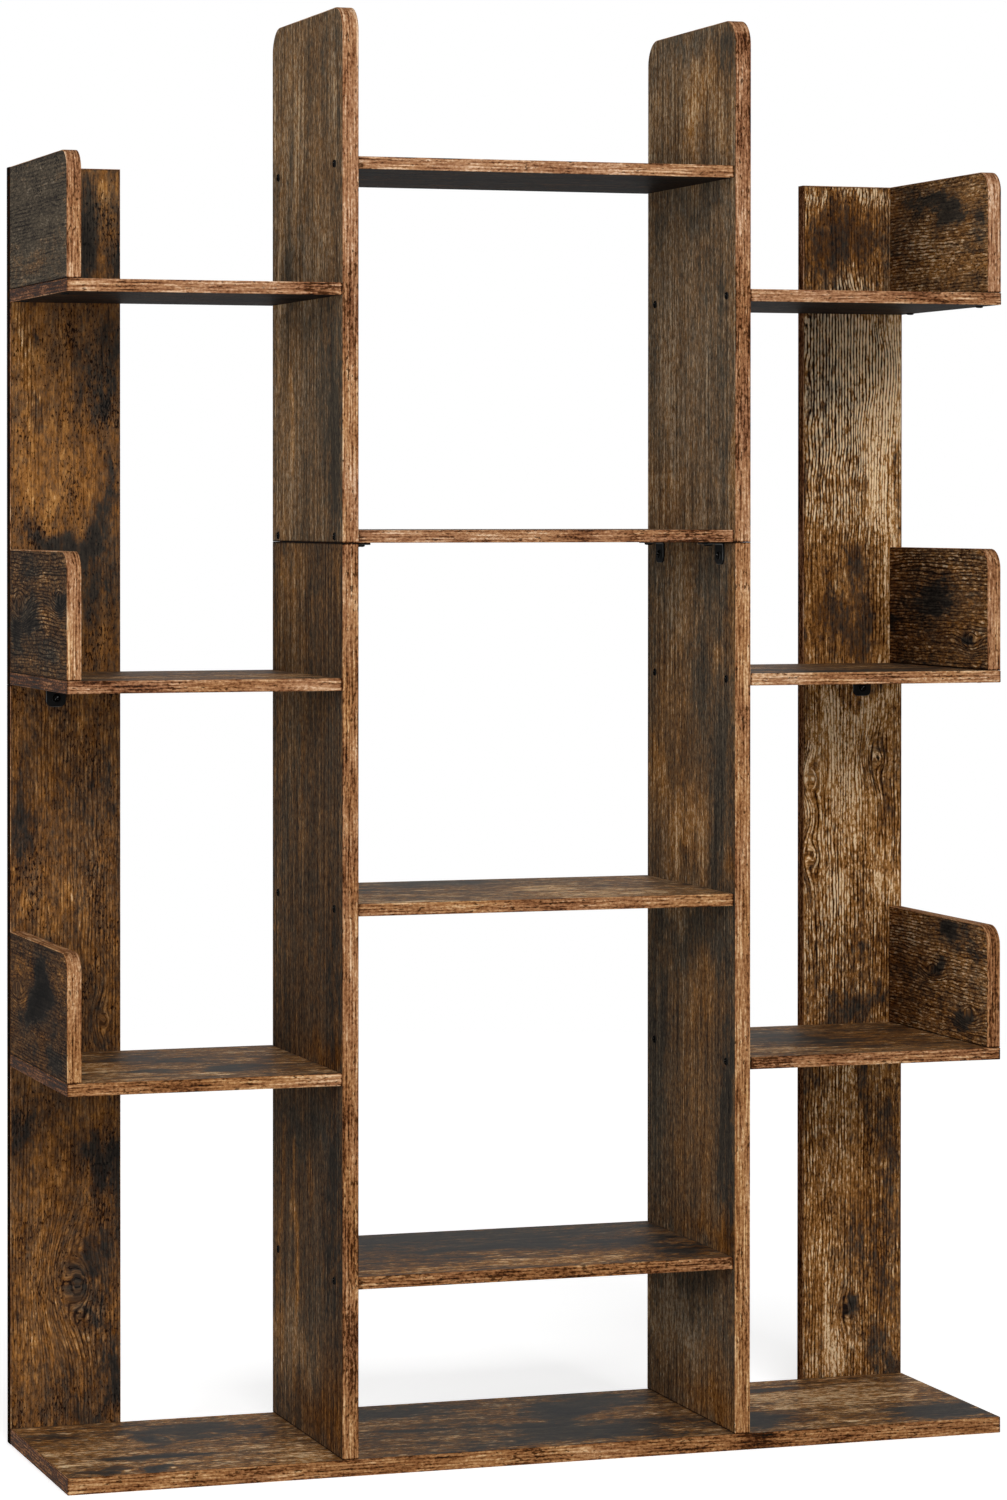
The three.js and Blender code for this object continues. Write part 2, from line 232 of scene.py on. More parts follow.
        (330, -106, 120, 24, -22, -8), (205, -34, 12, 80, -9, 33), (210, -104, 16, 26, -5, 59),
        # (60, -74, ...) and (35, -74, ...) are painted shade with warm bounced light, where the
        # upright meets the base.
        (130, 6, 50, 80, 0, -17), (60, -74, 26, 60, -3, 17), (35, -74, 18, 70, -5, 50),
        (835, 30, 60, 58, 18, -5), (805, -98, 30, 24, -10, -10), (522, 30, 30, 62, 18, 0),
        (104, 35, 40, 78, 28, -12), (730, 0, 26, 60, 5, 0), (598, 10, 36, 44, 10, 5),
        (450, 30, 34, 60, 7, 0), knots=[(575, 6, 7)]),
    "end_panel_left_1": seen(
        -15, 42, 12, (-15, 462, 34, 30, -34, -60, -20), (15, 440, 18, 22, -28, -60, -20),
        (-85, 475, 34, 12, 6, 10, 10), (60, 430, 26, 20, 10, 20), (55, 420, 20, 10, -24, -40),
        (-85, 405, 30, 14, -20, -40), (-40, 405, 20, 14, 6, 20), (75, 475, 30, 20, 2, 10),
        (28, 480, 8, 18, 12, 30), knots=[(80, 455, 12)]),
    "end_panel_left_2": seen(
        -16, 32, 20, (-90, 838, 16, 10, -32, -40), (30, 865, 60, 12, -10, -20, 10),
        (-40, 820, 50, 10, 10, 20, 20), (20, 815, 30, 16, -22, -40), (75, 795, 22, 14, -24, -50),
        (-60, 790, 40, 16, -14, -30, 10), (90, 850, 20, 20, 4, 10, 10),
        (-20, 850, 30, 10, 6, 10, 20), knots=[(-92, 838, 9), (70, 830, 14)]),
    "end_panel_left_3": seen(
        4, -6, 10, (20, 1200, 60, 22, -8, -40), (-60, 1220, 34, 14, -4, -30),
        (0, 1160, 80, 16, 5, 20), (80, 1170, 30, 20, 3, 10)),
    "end_panel_right_1": seen(
        1, 65, 30, (-42, 492, 26, 16, -30, -50, -20), (-95, 480, 18, 26, -12, -30),
        (-80, 415, 18, 7, -42, -40), (5, 452, 10, 12, -28, -20, 10),
        (-40, 450, 40, 18, 10, 10, 10), (40, 430, 50, 18, -16, -10),
        (80, 480, 34, 12, -4, -10, 20), (0, 410, 80, 8, -12, 0),
        knots=[(-80, 415, 9), (5, 452, 8)]),
    "end_panel_right_2": seen(
        -8, 60, 30, (0, 826, 46, 16, -22, -40, -10), (-85, 792, 16, 6, -40, -40),
        (-45, 805, 30, 14, 12, 20), (60, 820, 40, 24, -10, 0, 10), (100, 800, 14, 8, -30, -30),
        (40, 865, 60, 10, -4, 0, 20), (-60, 860, 40, 14, 2, 0, 10), knots=[(-85, 792, 8)]),
    "end_panel_right_3": seen(
        9, 65, 20, (-20, 1228, 60, 12, -26, -50, -10), (60, 1240, 50, 8, -14, -30),
        (-100, 1200, 14, 26, -20, -40), (0, 1195, 60, 14, 8, 10, 20),
        (80, 1190, 34, 26, -12, -20, 10), (10, 1165, 80, 14, 3, 10)),
    "base_board": seen(
        6, 62, 16, (-400, -60, 70, 26, 17, 10, 10), (-360, 20, 12, 26, -62, -40),
        (-370, -58, 46, 10, -59, -60), (-392, -104, 12, 10, -77, -50),
        (-455, -95, 24, 8, -56, -40), (-300, 50, 50, 30, -36, -50), (-280, -10, 40, 20, 7, 10),
        (-430, 60, 50, 40, -14, 0), (-250, -90, 40, 26, 7, 20), (-100, 70, 60, 30, -28, -60),
        (-60, 20, 50, 26, -3, -10), (-110, -10, 50, 10, -28, -40), (60, 20, 24, 30, -48, -70),
        (30, -60, 80, 40, -36, -60), (-110, -70, 50, 30, 7, 0), (100, 60, 60, 30, -24, -50),
        (-40, -105, 60, 14, -14, -30), (130, -60, 40, 40, -11, 10), (260, 70, 60, 16, -36, -30),
        (330, 40, 80, 30, 28, 20), (300, -10, 60, 26, 11, 10), (235, -60, 26, 46, -48, -70),
        (440, -80, 46, 26, -56, -80), (340, -70, 40, 26, 10, 5), (420, 0, 50, 26, 11, 10),
        knots=[(-392, -104, 14), (-355, 25, 16)]),
    "centre_shelf_1": seen(
        -6, 56, 12, (0, 70, 200, 50, -17, -50), (-60, 10, 80, 20, -8, -20),
        (60, 0, 110, 14, -25, -40), (-40, -85, 130, 20, 22, 20), (60, -75, 60, 16, 11, 10),
        (-90, -40, 30, 8, -20, -30), (150, -70, 30, 40, -22, -20)),
    "centre_shelf_2": seen(
        12, 51, 8, (-40, 80, 60, 30, -22, -60), (60, 60, 40, 26, 7, -10),
        (30, -20, 40, 40, 17, 10), (-90, -90, 60, 18, 8, 0), (70, -85, 60, 20, 17, 20),
        (-140, 20, 40, 40, -7, -20)),
    "side_shelf_left_1": seen(
        8, 62, 10, (-370, 60, 40, 40, -17, -20), (-330, 20, 20, 10, -28, -30),
        (-300, -60, 20, 26, -42, -70), (-370, -50, 20, 16, -36, -60), (-390, -70, 10, 10, 36, 0),
        (-330, -85, 14, 16, 28, 0), (-430, 10, 20, 50, 11, 30), (-260, -30, 20, 40, -22, 10)),
    "side_shelf_right_1": seen(
        4, 59, 10, (270, 40, 26, 50, -14, -60), (320, 10, 30, 60, -20, -40),
        (280, -75, 40, 20, 20, 0), (380, -20, 50, 60, -17, 20), (350, -95, 50, 10, 7, 0)),
}

# The low faces of the shelves and base: a darker tone than the tops, painted shade for the light
# that doesn't reach under them.
SHADED_UNDERSIDE = seen(-38, 15, 4)

# Tone of each board's strips, and of stretches of its front edge, in hundredths:
# (place, half length, tone), with lengths in mm.
STRIPS = {
    "base_board": (0, [(-355, 5, -22), (-300, 20, -16), (-215, 60, -12), (-20, 26, -20),
                       (140, 30, -18), (215, 22, -30), (300, 70, -22), (-445, 30, -6)]),
    "upright_left_upper": (8, [(1180, 26, -12), (1130, 30, -24), (1060, 26, -20), (930, 10, -10)]),
    "upright_left_lower": (2, [(870, 24, -22), (740, 30, -16), (640, 50, -10), (230, 60, -22),
                               (120, 50, -26), (330, 30, -10)]),
    "upright_right_upper": (0, [(1385, 16, -22), (1330, 60, -16), (1130, 34, -18),
                                (1010, 50, -16), (1085, 20, -20)]),
    "upright_right_lower": (6, [(720, 12, -22), (690, 16, -20), (480, 8, -26), (560, 20, -10),
                                (145, 30, -16)]),
    "centre_shelf_1": (-18, [(0, 200, -4)]),
    "centre_shelf_2": (-4, [(0, 70, -10)]),
    "centre_shelf_3": (-5, [(120, 50, -12), (160, 20, -6)]),
    "centre_shelf_4": (4, []),
    "side_shelf_left_1": (2, [(-390, 36, -24)]),
    "side_shelf_left_2": (-5, [(-440, 30, -12)]),
    "side_shelf_left_3": (2, [(-230, 16, -26)]),
    "side_shelf_right_1": (-7, [(225, 30, -26), (460, 20, -20)]),
    "side_shelf_right_2": (17, [(300, 26, -20), (350, 20, -10)]),
    "side_shelf_right_3": (2, [(440, 40, -22), (390, 20, -14)]),
    "end_panel_left_1": (-2, []),
    "end_panel_left_2": (13, [(835, 8, -20)]),
    "end_panel_left_3": (4, [(1200, 30, -20)]),
    "end_panel_right_1": (-7, [(445, 30, -14)]),
    "end_panel_right_2": (-7, []),
    "end_panel_right_3": (4, []),
}


# Numpy surfaces.

def cells(grid):
    """The four corners of each cell between the rows and columns of a grid."""
    return np.stack([grid[:-1, :-1], grid[1:, :-1], grid[1:, 1:], grid[:-1, 1:]], 2)


def put_mesh(name, points, quads, triangles=None, smooth=None):
    """A mesh object from an array of points and arrays of four-sided and three-sided faces."""
    triangles = np.zeros((0, 3), int) if triangles is None else triangles
    mesh = bpy.data.meshes.new(name)
    mesh.vertices.add(len(points))
    mesh.vertices.foreach_set("co", np.asarray(points, np.float32).ravel())
    corners = np.concatenate([quads.ravel(), triangles.ravel()]).astype(np.int32)
    sizes = np.concatenate([np.full(len(quads), 4), np.full(len(triangles), 3)])
    starts = np.concatenate([[0], np.cumsum(sizes)[:-1]]).astype(np.int32)
    mesh.loops.add(len(corners))
    mesh.loops.foreach_set("vertex_index", corners)
    mesh.polygons.add(len(sizes))
    mesh.polygons.foreach_set("loop_start", starts)
    if smooth is not None:
        mesh.polygons.foreach_set("use_smooth", smooth)
    mesh.update(calc_edges=True)
    mesh.validate()
    piece = bpy.data.objects.new(name, mesh)
    bpy.context.scene.collection.objects.link(piece)
    return piece


def enclosed(points, quads, triangles=None):
    """The volume inside a closed surface, negative where its faces point inwards: a sixth
    of the sum of each triangle's triple product."""
    parts = [quads[:, [0, 1, 2]], quads[:, [0, 2, 3]]]
    if triangles is not None:
        parts.append(triangles)
    first, second, third = (points[np.concatenate(parts)[:, k]] for k in range(3))
    return float((np.cross(first, second) * third).sum() / 6)


def store(mesh, name, domain, values):
    """Keeps one or three numbers for each point, or each face corner, as an attribute."""
    kind, field = ("FLOAT", "value") if values.ndim == 1 else ("FLOAT_VECTOR", "vector")
    layer = mesh.attributes.new(name, kind, domain)
    layer.data.foreach_set(field, np.asarray(values, np.float32).ravel())


def side_offset(distance, radius):
    """How far a rounded corner draws the side in at a distance from the board's end, with
    the outline's outward direction there as (towards the end, sideways).
    offset = radius - sqrt(radius squared - (radius - distance) squared) inside the corner."""
    if radius <= 0:
        at_end = (distance < 1e-9).astype(float)
        return np.zeros_like(distance), at_end, np.ones_like(distance)
    sine = np.clip((radius - distance) / radius, 0.0, 1.0)
    cosine = np.sqrt(1.0 - sine ** 2)
    return radius * (1.0 - cosine), sine, cosine


def spread(length, pitch, start_lines, end_lines):
    """Line places from 0 to length about a pitch apart, with given lines kept at both ends."""
    first, last = start_lines.max(), length - end_lines.max()
    count = max(int(round((last - first) / pitch)), 1)
    middle = np.linspace(first, last, count + 1)[1:-1]
    return np.concatenate([np.sort(start_lines), middle, np.sort(length - end_lines)])


def slab(length, width, thick, radii, pitch, ease, rim, arc_steps=14):
    """A flat board with rounded outline corners and eased edges, in its own directions.

    Rows run along the length and columns across it. In a rounded corner the rows follow
    the sine of equal angles and the columns are drawn in by side_offset. The two faces
    are inset by the ease, and a quarter circle of that radius, a straight edge and a
    second quarter circle are carried round the outline. radii are for the corners
    (start, low side), (end, low side), (end, high side), (start, high side).
    Returns points (along, across, through), quads, how many points are in a face and how
    many quads in both faces, which points are on a rim (1) and the strip's (run, depth) at
    the corners of each quad of the edge."""
    inner = [max(r - ease, 0.0) for r in radii]
    long_in, wide_in = length - 2 * ease, width - 2 * ease
    angles = np.sin(np.linspace(0, math.pi / 2, arc_steps + 1))

    only_rim = np.array([0.0, rim])

    def end_lines(first, second):
        arcs = [radius * (1 - angles) for radius in {first, second} if radius > 0]
        return np.unique(np.concatenate([[0.0], *arcs]).round(9)) if arcs else only_rim

    rows = spread(long_in, pitch, end_lines(inner[0], inner[3]), end_lines(inner[1], inner[2]))
    columns = spread(wide_in, pitch, only_rim, only_rim) / wide_in

    def long_side(start, end):
        at_start = np.array(side_offset(rows, start)) * [[1], [-1], [1]]
        return np.where(rows < long_in / 2, at_start, side_offset(long_in - rows, end))

    low, high = long_side(inner[0], inner[1]), long_side(inner[3], inner[2])
    across_low, across_high = low[0], wide_in - high[0]
    along = np.repeat(rows[:, None], len(columns), 1)
    across = across_low[:, None] + (across_high - across_low)[:, None] * columns
    index = np.arange(along.size).reshape(along.shape)
    loop = np.concatenate([index[:, 0], index[-1, 1:], index[-2::-1, -1], index[0, -2:0:-1]])
    end_out = np.zeros((len(columns) - 2, 2)) + [1.0, 0.0]
    outward = np.concatenate([
        np.stack([low[1], -low[2]], 1), end_out,
        np.stack([high[1], high[2]], 1)[::-1], -end_out])
    flat = np.stack([along.ravel(), across.ravel()], 1) + ease
    edge = flat[loop]
    turn = np.radians([30.0, 60.0, 90.0])
    guard = min(EDGE_GUARD, (thick - 2 * ease) / 4)
    reach = np.concatenate([np.sin(turn), [1.0] * 3, np.sin(turn[::-1])]) * ease
    depth = np.concatenate([
        ease * (1 - np.cos(turn)), [ease + guard, thick / 2, thick - ease - guard],
        thick - ease * (1 - np.cos(turn[::-1]))])
    rings = edge[None] + outward[None] * reach[:, None, None]
    ring_points = np.concatenate(
        [rings, np.broadcast_to((thick - depth)[:, None, None], rings.shape[:2] + (1,))], 2)
    top, bottom = (np.insert(flat, 2, height, 1) for height in (thick, 0.0))
    points = np.concatenate([top, ring_points.reshape(-1, 3), bottom])
    quad = cells(index).reshape(-1, 4)
    ring_index = len(flat) + np.arange(len(depth) * len(loop)).reshape(len(depth), -1)
    bottom_start = len(flat) + ring_index.size
    lines = np.concatenate([loop[None], ring_index, loop[None] + bottom_start])
    lines = np.concatenate([lines, lines[:, :1]], 1)
    quads = np.concatenate([quad, quad[:, ::-1] + bottom_start,
                            cells(lines).reshape(-1, 4)])
    outer = edge + outward * ease
    step = np.linalg.norm(np.roll(outer, -1, 0) - outer, axis=1)
    run = np.concatenate([[0.0], np.cumsum(step)])
    deep = np.concatenate([[0.0], depth, [thick]])
    on_rim = np.zeros(len(points))
    on_rim[np.concatenate([loop, loop + bottom_start])] = 1.0
    return {
        "points": points, "quads": quads, "face_points": len(flat),
        "face_quads": 2 * len(quad), "rim": on_rim,
        "strip": cells(np.stack(np.meshgrid(run, deep), -1)).reshape(-1, 4, 2),
    }


# Painting the print.

def oval(along, across, stroke):
    """1 in the middle of a stroke, falling smoothly to 0 past its edge:
    the weight is 1 / (1 + d to the power 4), where d is the oval's own distance."""
    reach = ((along - stroke[0]) / stroke[2]) ** 2 + ((across - stroke[1]) / stroke[3]) ** 2
    return 1.0 / (1.0 + reach ** 2)


def random_print(generator, low, high, tone, warmth):
    """A print of soft seeded patches for a face that the photograph doesn't show: about
    one every 45 mm, 36 to 160 mm long and 16 to 56 mm wide, with a knot or two."""
    size = high - low
    strokes = []
    for _ in range(int(6 + size[0] / 45)):
        centre = low + size * generator.random(2)
        half = np.array([generator.uniform(18, 80), generator.uniform(8, 28)])
        shade = generator.uniform(-0.32, 0.16)
        strokes.append((*centre, *half, shade, shade * 1.2, generator.uniform(-0.05, 0.15)))
    knots = [(*(low + size * generator.uniform(0.15, 0.85, 2)), generator.uniform(7, 15))
             for _ in range(int(size[0] > 200) + int(size[0] > 500))]
    return Print(tone, warmth, 0.16, strokes, knots)


def rippled(along, across):
    """The two places moved a little, so that the strokes get uneven outlines. Each place is
    shifted by a sum of five sine waves that run in seeded directions: the shift is
    reach * sin(2 pi (direction . place) / wavelength + phase) for each wave."""
    generator = np.random.default_rng(SEED)
    shift_along, shift_across = np.zeros_like(along), np.zeros_like(across)
    for wavelength in (95.0, 61.0, 42.0, 29.0, 21.0):
        for shift, reach in ((shift_along, RIPPLE_ALONG), (shift_across, RIPPLE_ACROSS)):
            turn, phase = generator.uniform(0, math.tau, 2)
            run = along * RIPPLE_SQUEEZE * math.cos(turn) + across * math.sin(turn)
            shift += reach * wavelength * np.sin(math.tau * (run / wavelength) + phase)
    return along + shift_along, across + shift_across


def paint(along, across, what):
    """Tone, warmth and ridge of the print, and where the grain runs across.

    Strokes are added up. Round a knot the across place x becomes
    x * (1 - w) + (knot place + distance to it) * w, with w = exp(-(distance / reach)
    squared), so that the grain runs round it in rings."""
    tone = np.zeros_like(along)
    warmth = np.full_like(along, what.warmth)
    ridge = np.full_like(along, what.ridge)
    moved = rippled(along, across)
    for stroke in what.strokes:
        weight = oval(*moved, stroke)
        tone += weight * stroke[4]
        warmth += weight * stroke[5]
        ridge += weight * stroke[6]
    grain = across.copy()
    for knot_along, knot_across, radius in what.knots:
        gap = np.hypot((along - knot_along) * KNOT_SQUEEZE, across - knot_across)
        weight = np.exp(-(gap / (radius * KNOT_SWAY)) ** 2)
        grain = grain * (1 - weight) + (knot_across + gap) * weight
        ridge += KNOT_RIDGE * weight
        tone -= KNOT_DARK * np.exp(-(gap / (radius * KNOT_CORE)) ** 2)
    return np.stack([tone, warmth, np.clip(ridge, 0.0, 1.0)], 1), grain


# Which way each kind of board lies: the grain's axis, the axis across it, the thin axis,
# and which face is seen in the photograph (1 is the one at the high end of the thin axis).
LAY = {
    "upright": (Z, Y, X, 0), "back_panel": (Z, X, Y, 0), "end_panel": (Y, Z, X, 0),
    "base_board": (X, Y, Z, 1), "centre_shelf": (X, Y, Z, 1), "side_shelf": (X, Y, Z, 1),
}

# Outer sides whose strips are painted darker: partly a greyer strip colour of their own and
# partly painted shade that makes these sides dimmer than the fronts. (axis, which end, tone).
SHADED_SIDES = {
    "back_panel_left": [(X, -1, -0.74)],
    "back_panel_right": [(X, -1, -0.33), (X, 1, -0.66)],
    "side_shelf_left": [(X, -1, -0.42)],
    "side_shelf_right": [(X, 1, -0.38)],
    "base_board": [(X, -1, -0.39), (X, 1, -0.38)],
}


def jointed(kind, node):
    """The sides of a board that butt against another board and show dark in the joint, as
    (axis, which end)."""
    if kind in ("upright", "back_panel"):
        return [(Z, -1), (Z, 1)] if "lower" in node else [(Z, -1)]
    if kind == "side_shelf":
        return [(X, 1 if "left" in node else -1)]
    return {"end_panel": [(Z, -1)], "centre_shelf": [(X, -1), (X, 1)]}.get(kind, [])


def strip_shade(node, kind, points, low, high):
    """Tone of the edge strips at each point: joints, outer sides painted darker, partly as painted
    shade, and painted stretches.
    """
    def near(axis, end, reach):
        return np.abs(points[:, axis] - (high if end > 0 else low)[axis]) < reach

    tone, stretches = STRIPS.get(node, (0, []))
    shade = np.full(len(points), tone / 100)
    for axis, end in jointed(kind, node):
        shade[near(axis, end, JOINT_REACH)] = JOINT_TONE
    # Outer sides get a darker strip tone, partly their own colour and partly painted shade.
    sides = next((SHADED_SIDES[name] for name in SHADED_SIDES if node.startswith(name)), ())
    for axis, end, side_shade_tone in sides:
        shade[near(axis, end, SHADED_SIDE_REACH)] = side_shade_tone
    front = points[:, Y] < low[Y] + FRONT_REACH
    place = points[:, X if LAY[kind][2] == Z else Z] / MM
    for centre, half, depth in stretches:
        reach = 1.0 / (1.0 + ((place - centre) / half) ** 4)
        shade += np.where(front, reach * (depth / 100), 0.0)
    return shade


def make_board(node, materials, hidden, radii):
    """One board in the place of its CAD node, with the painted print on both faces and a
    strip round its edges. The materials are for the faces, the strip and, where there is
    a third one, the low face. hidden is the tone and warmth of the faces not seen."""
    settings = bpy.context.scene.bookshelf_boards
    kind = next(name for name in LAY if node.startswith(name))
    a, c, n, seen_face = LAY[kind]
    low, high = (np.array(corner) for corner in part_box(node))
    size = high - low
    made = slab(size[a], size[c], size[n], radii, settings.grid_pitch, settings.edge_ease,
                settings.rim_width)
    points = np.empty_like(made["points"])
    points[:, [a, c, n]] = made["points"] + low[[a, c, n]]
    quads, on_strip = made["quads"], made["strip"]
    if np.linalg.det(np.eye(3)[[a, c, n]]) < 0:
        quads, on_strip = quads[:, ::-1], on_strip[:, ::-1]
    on_edge = np.arange(len(quads)) >= made["face_quads"]
    piece = put_mesh(node + "_board", points, quads, smooth=on_edge)
    mesh = piece.data
    number = sorted(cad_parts).index(node)
    generator = np.random.default_rng(SEED + number)
    prints = [random_print(generator, low[[a, c]] / MM, high[[a, c]] / MM, *hidden)
              for _ in range(2)]
    # A flat board's low face gets the darker underside print, which is painted shade.
    if n == Z:
        prints[0] = SHADED_UNDERSIDE
    if node in SEEN:
        prints[seen_face] = SEEN[node]
    is_top = np.arange(len(points)) < made["face_points"]
    along, across = points[:, a] / MM, points[:, c] / MM
    low_paint, low_grain = paint(along, across, prints[0])
    top_paint, top_grain = paint(along, across, prints[1])
    grain = np.where(is_top, top_grain, low_grain + LOW_FACE_SHIFT_MM)
    store(mesh, "paint", "POINT", np.where(is_top[:, None], top_paint, low_paint))
    store(mesh, "level", "POINT", np.where(is_top, prints[1].tone, prints[0].tone))
    store(mesh, "grain", "POINT", np.stack([
        grain * MM + number * GRAIN_SHIFT[0], along * MM + number * GRAIN_SHIFT[1],
        made["rim"]], 1))
    store(mesh, "blush", "POINT", BLUSH_LOW + BLUSH_RISE * points[:, Z])
    strip = np.zeros((len(quads), 4, 3))
    strip[on_edge, :, :2] = on_strip + number * np.array(STRIP_SHIFT)
    strip[:, :, 2] = strip_shade(node, kind, points, low, high)[quads]
    store(mesh, "strip", "CORNER", strip)
    which = on_edge.astype(np.int32)
    if len(materials) > 2:
        which[~on_edge & ~is_top[quads[:, 0]]] = 2
    for material in materials:
        mesh.materials.append(material)
    mesh.polygons.foreach_set("material_index", which)
    mesh.set_sharp_from_angle(angle=math.radians(50))
    # The call above makes every face smooth, so the flat ones are named again.
    mesh.polygons.foreach_set("use_smooth", on_edge)
    mesh.update()
    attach(piece, BODY)
    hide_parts(node)


# Node work.

class Value:
    """A node's output. To add, take away or multiply it makes a maths node."""

    def __init__(self, net, socket):
        self.net, self.socket = net, socket

    def __add__(self, other):
        return self.net.math("ADD", self, other)

    def __radd__(self, other):
        return self.net.math("ADD", other, self)

    def __sub__(self, other):
        return self.net.math("SUBTRACT", self, other)

    def __rsub__(self, other):
        return self.net.math("SUBTRACT", other, self)

    def __mul__(self, other):
        return self.net.math("MULTIPLY", self, other)

    def centred(self, amount):
        """amount * (value - 0.5)"""
        return (self - 0.5) * amount

    def remap(self, low, high, out_low=0.0, out_high=1.0):
        """Turns low to high into out_low to out_high, and keeps within them."""
        node = self.net.add("ShaderNodeMapRange", clamp=True)
        for item, socket in zip((self, low, high, out_low, out_high), node.inputs):
            self.net.link(item, socket)
        return Value(self.net, node.outputs[0])


class Net:
    """Short ways to add nodes to a material or a node group."""

    def __init__(self, tree):
        self.tree = tree

    def add(self, kind, **settings):
        node = self.tree.nodes.new(kind)
        for name, value in settings.items():
            setattr(node, name, value)
        return node

    def source(self, kind, output, **settings):
        """An output of a new node that takes nothing in."""
        return Value(self, self.add(kind, **settings).outputs[output])

    def link(self, value, socket):
        """Joins a value to a socket, or gives the socket a constant."""
        if isinstance(value, Value):
            self.tree.links.new(value.socket, socket)
        elif value is not None:
            socket.default_value = value

    def math(self, operation, first, second=None, third=None, clamp=False):
        node = self.add("ShaderNodeMath", operation=operation, use_clamp=clamp)
        for value, socket in zip((first, second, third), node.inputs):
            self.link(value, socket)
        return Value(self, node.outputs[0])

    def split(self, vector):
        node = self.add("ShaderNodeSeparateXYZ")
        self.link(vector, node.inputs[0])
        return [Value(self, socket) for socket in node.outputs]

    def noise(self, vector, factors, detail=2.0, roughness=0.5, distortion=0.0, layer=0.0):
        """Noise of the vector times the factors. Another layer gives another pattern."""
        scaled = self.add("ShaderNodeVectorMath", operation="MULTIPLY_ADD")
        self.link(vector, scaled.inputs[0])
        scaled.inputs[1].default_value = factors
        scaled.inputs[2].default_value = (0.0, 0.0, layer)
        node = self.add("ShaderNodeTexNoise", noise_dimensions="3D")
        self.link(Value(self, scaled.outputs[0]), node.inputs["Vector"])
        for name, value in (("Scale", 1.0), ("Detail", detail), ("Roughness", roughness),
                            ("Distortion", distortion)):
            node.inputs[name].default_value = value
        return Value(self, node.outputs["Fac"])

    def ramp(self, value, *stops):
        node = self.add("ShaderNodeValToRGB")
        elements = node.color_ramp.elements
        while len(elements) < len(stops):
            elements.new(0.5)
        for element, (place, colour) in zip(elements, stops):
            element.position = place
            element.color = (*colour[:3], 1.0)
        self.link(value, node.inputs[0])
        return Value(self, node.outputs[0])

    def mix(self, factor, first, second, blend="MIX"):
        node = self.add("ShaderNodeMix", data_type="RGBA", blend_type=blend)
        self.link(factor, node.inputs[0])
        for value, socket in ((first, node.inputs[6]), (second, node.inputs[7])):
            self.link(value if isinstance(value, Value) else (*value[:3], 1.0), socket)
        return Value(self, node.outputs[2])

    def bump(self, height, strength, distance):
        """The normal of a surface with this height on it."""
        node = self.add("ShaderNodeBump")
        node.inputs["Strength"].default_value = strength
        node.inputs["Distance"].default_value = distance
        self.link(height, node.inputs["Height"])
        return Value(self, node.outputs[0])

    def shown(self):
        """1 for rays that come from the camera, from gloss or through glass, otherwise 0."""
        path = self.add("ShaderNodeLightPath").outputs
        camera, gloss, glass = (Value(self, path[f"Is {kind} Ray"])
                                for kind in ("Camera", "Glossy", "Transmission"))
        return self.math("ADD", camera + gloss, glass, clamp=True)


FLOAT, VECTOR, COLOUR = "NodeSocketFloat", "NodeSocketVector", "NodeSocketColor"


def new_group(name, vectors, floats):
    """A new shader node group with vector inputs, float inputs with their defaults, and
    the outputs Colour, Roughness and Height: its net, inputs by name and output node."""
    tree = bpy.data.node_groups.new(name, "ShaderNodeTree")
    for label in vectors:
        tree.interface.new_socket(label, in_out="INPUT", socket_type=VECTOR)
    for label, default in floats.items():
        socket = tree.interface.new_socket(label, in_out="INPUT", socket_type=FLOAT)
        socket.default_value = default
    for label, kind in (("Colour", COLOUR), ("Roughness", FLOAT), ("Height", FLOAT)):
        tree.interface.new_socket(label, in_out="OUTPUT", socket_type=kind)
    net = Net(tree)
    source = net.add("NodeGroupInput").outputs
    given = {label: Value(net, source[label]) for label in (*vectors, *floats)}
    return net, given, net.add("NodeGroupOutput")


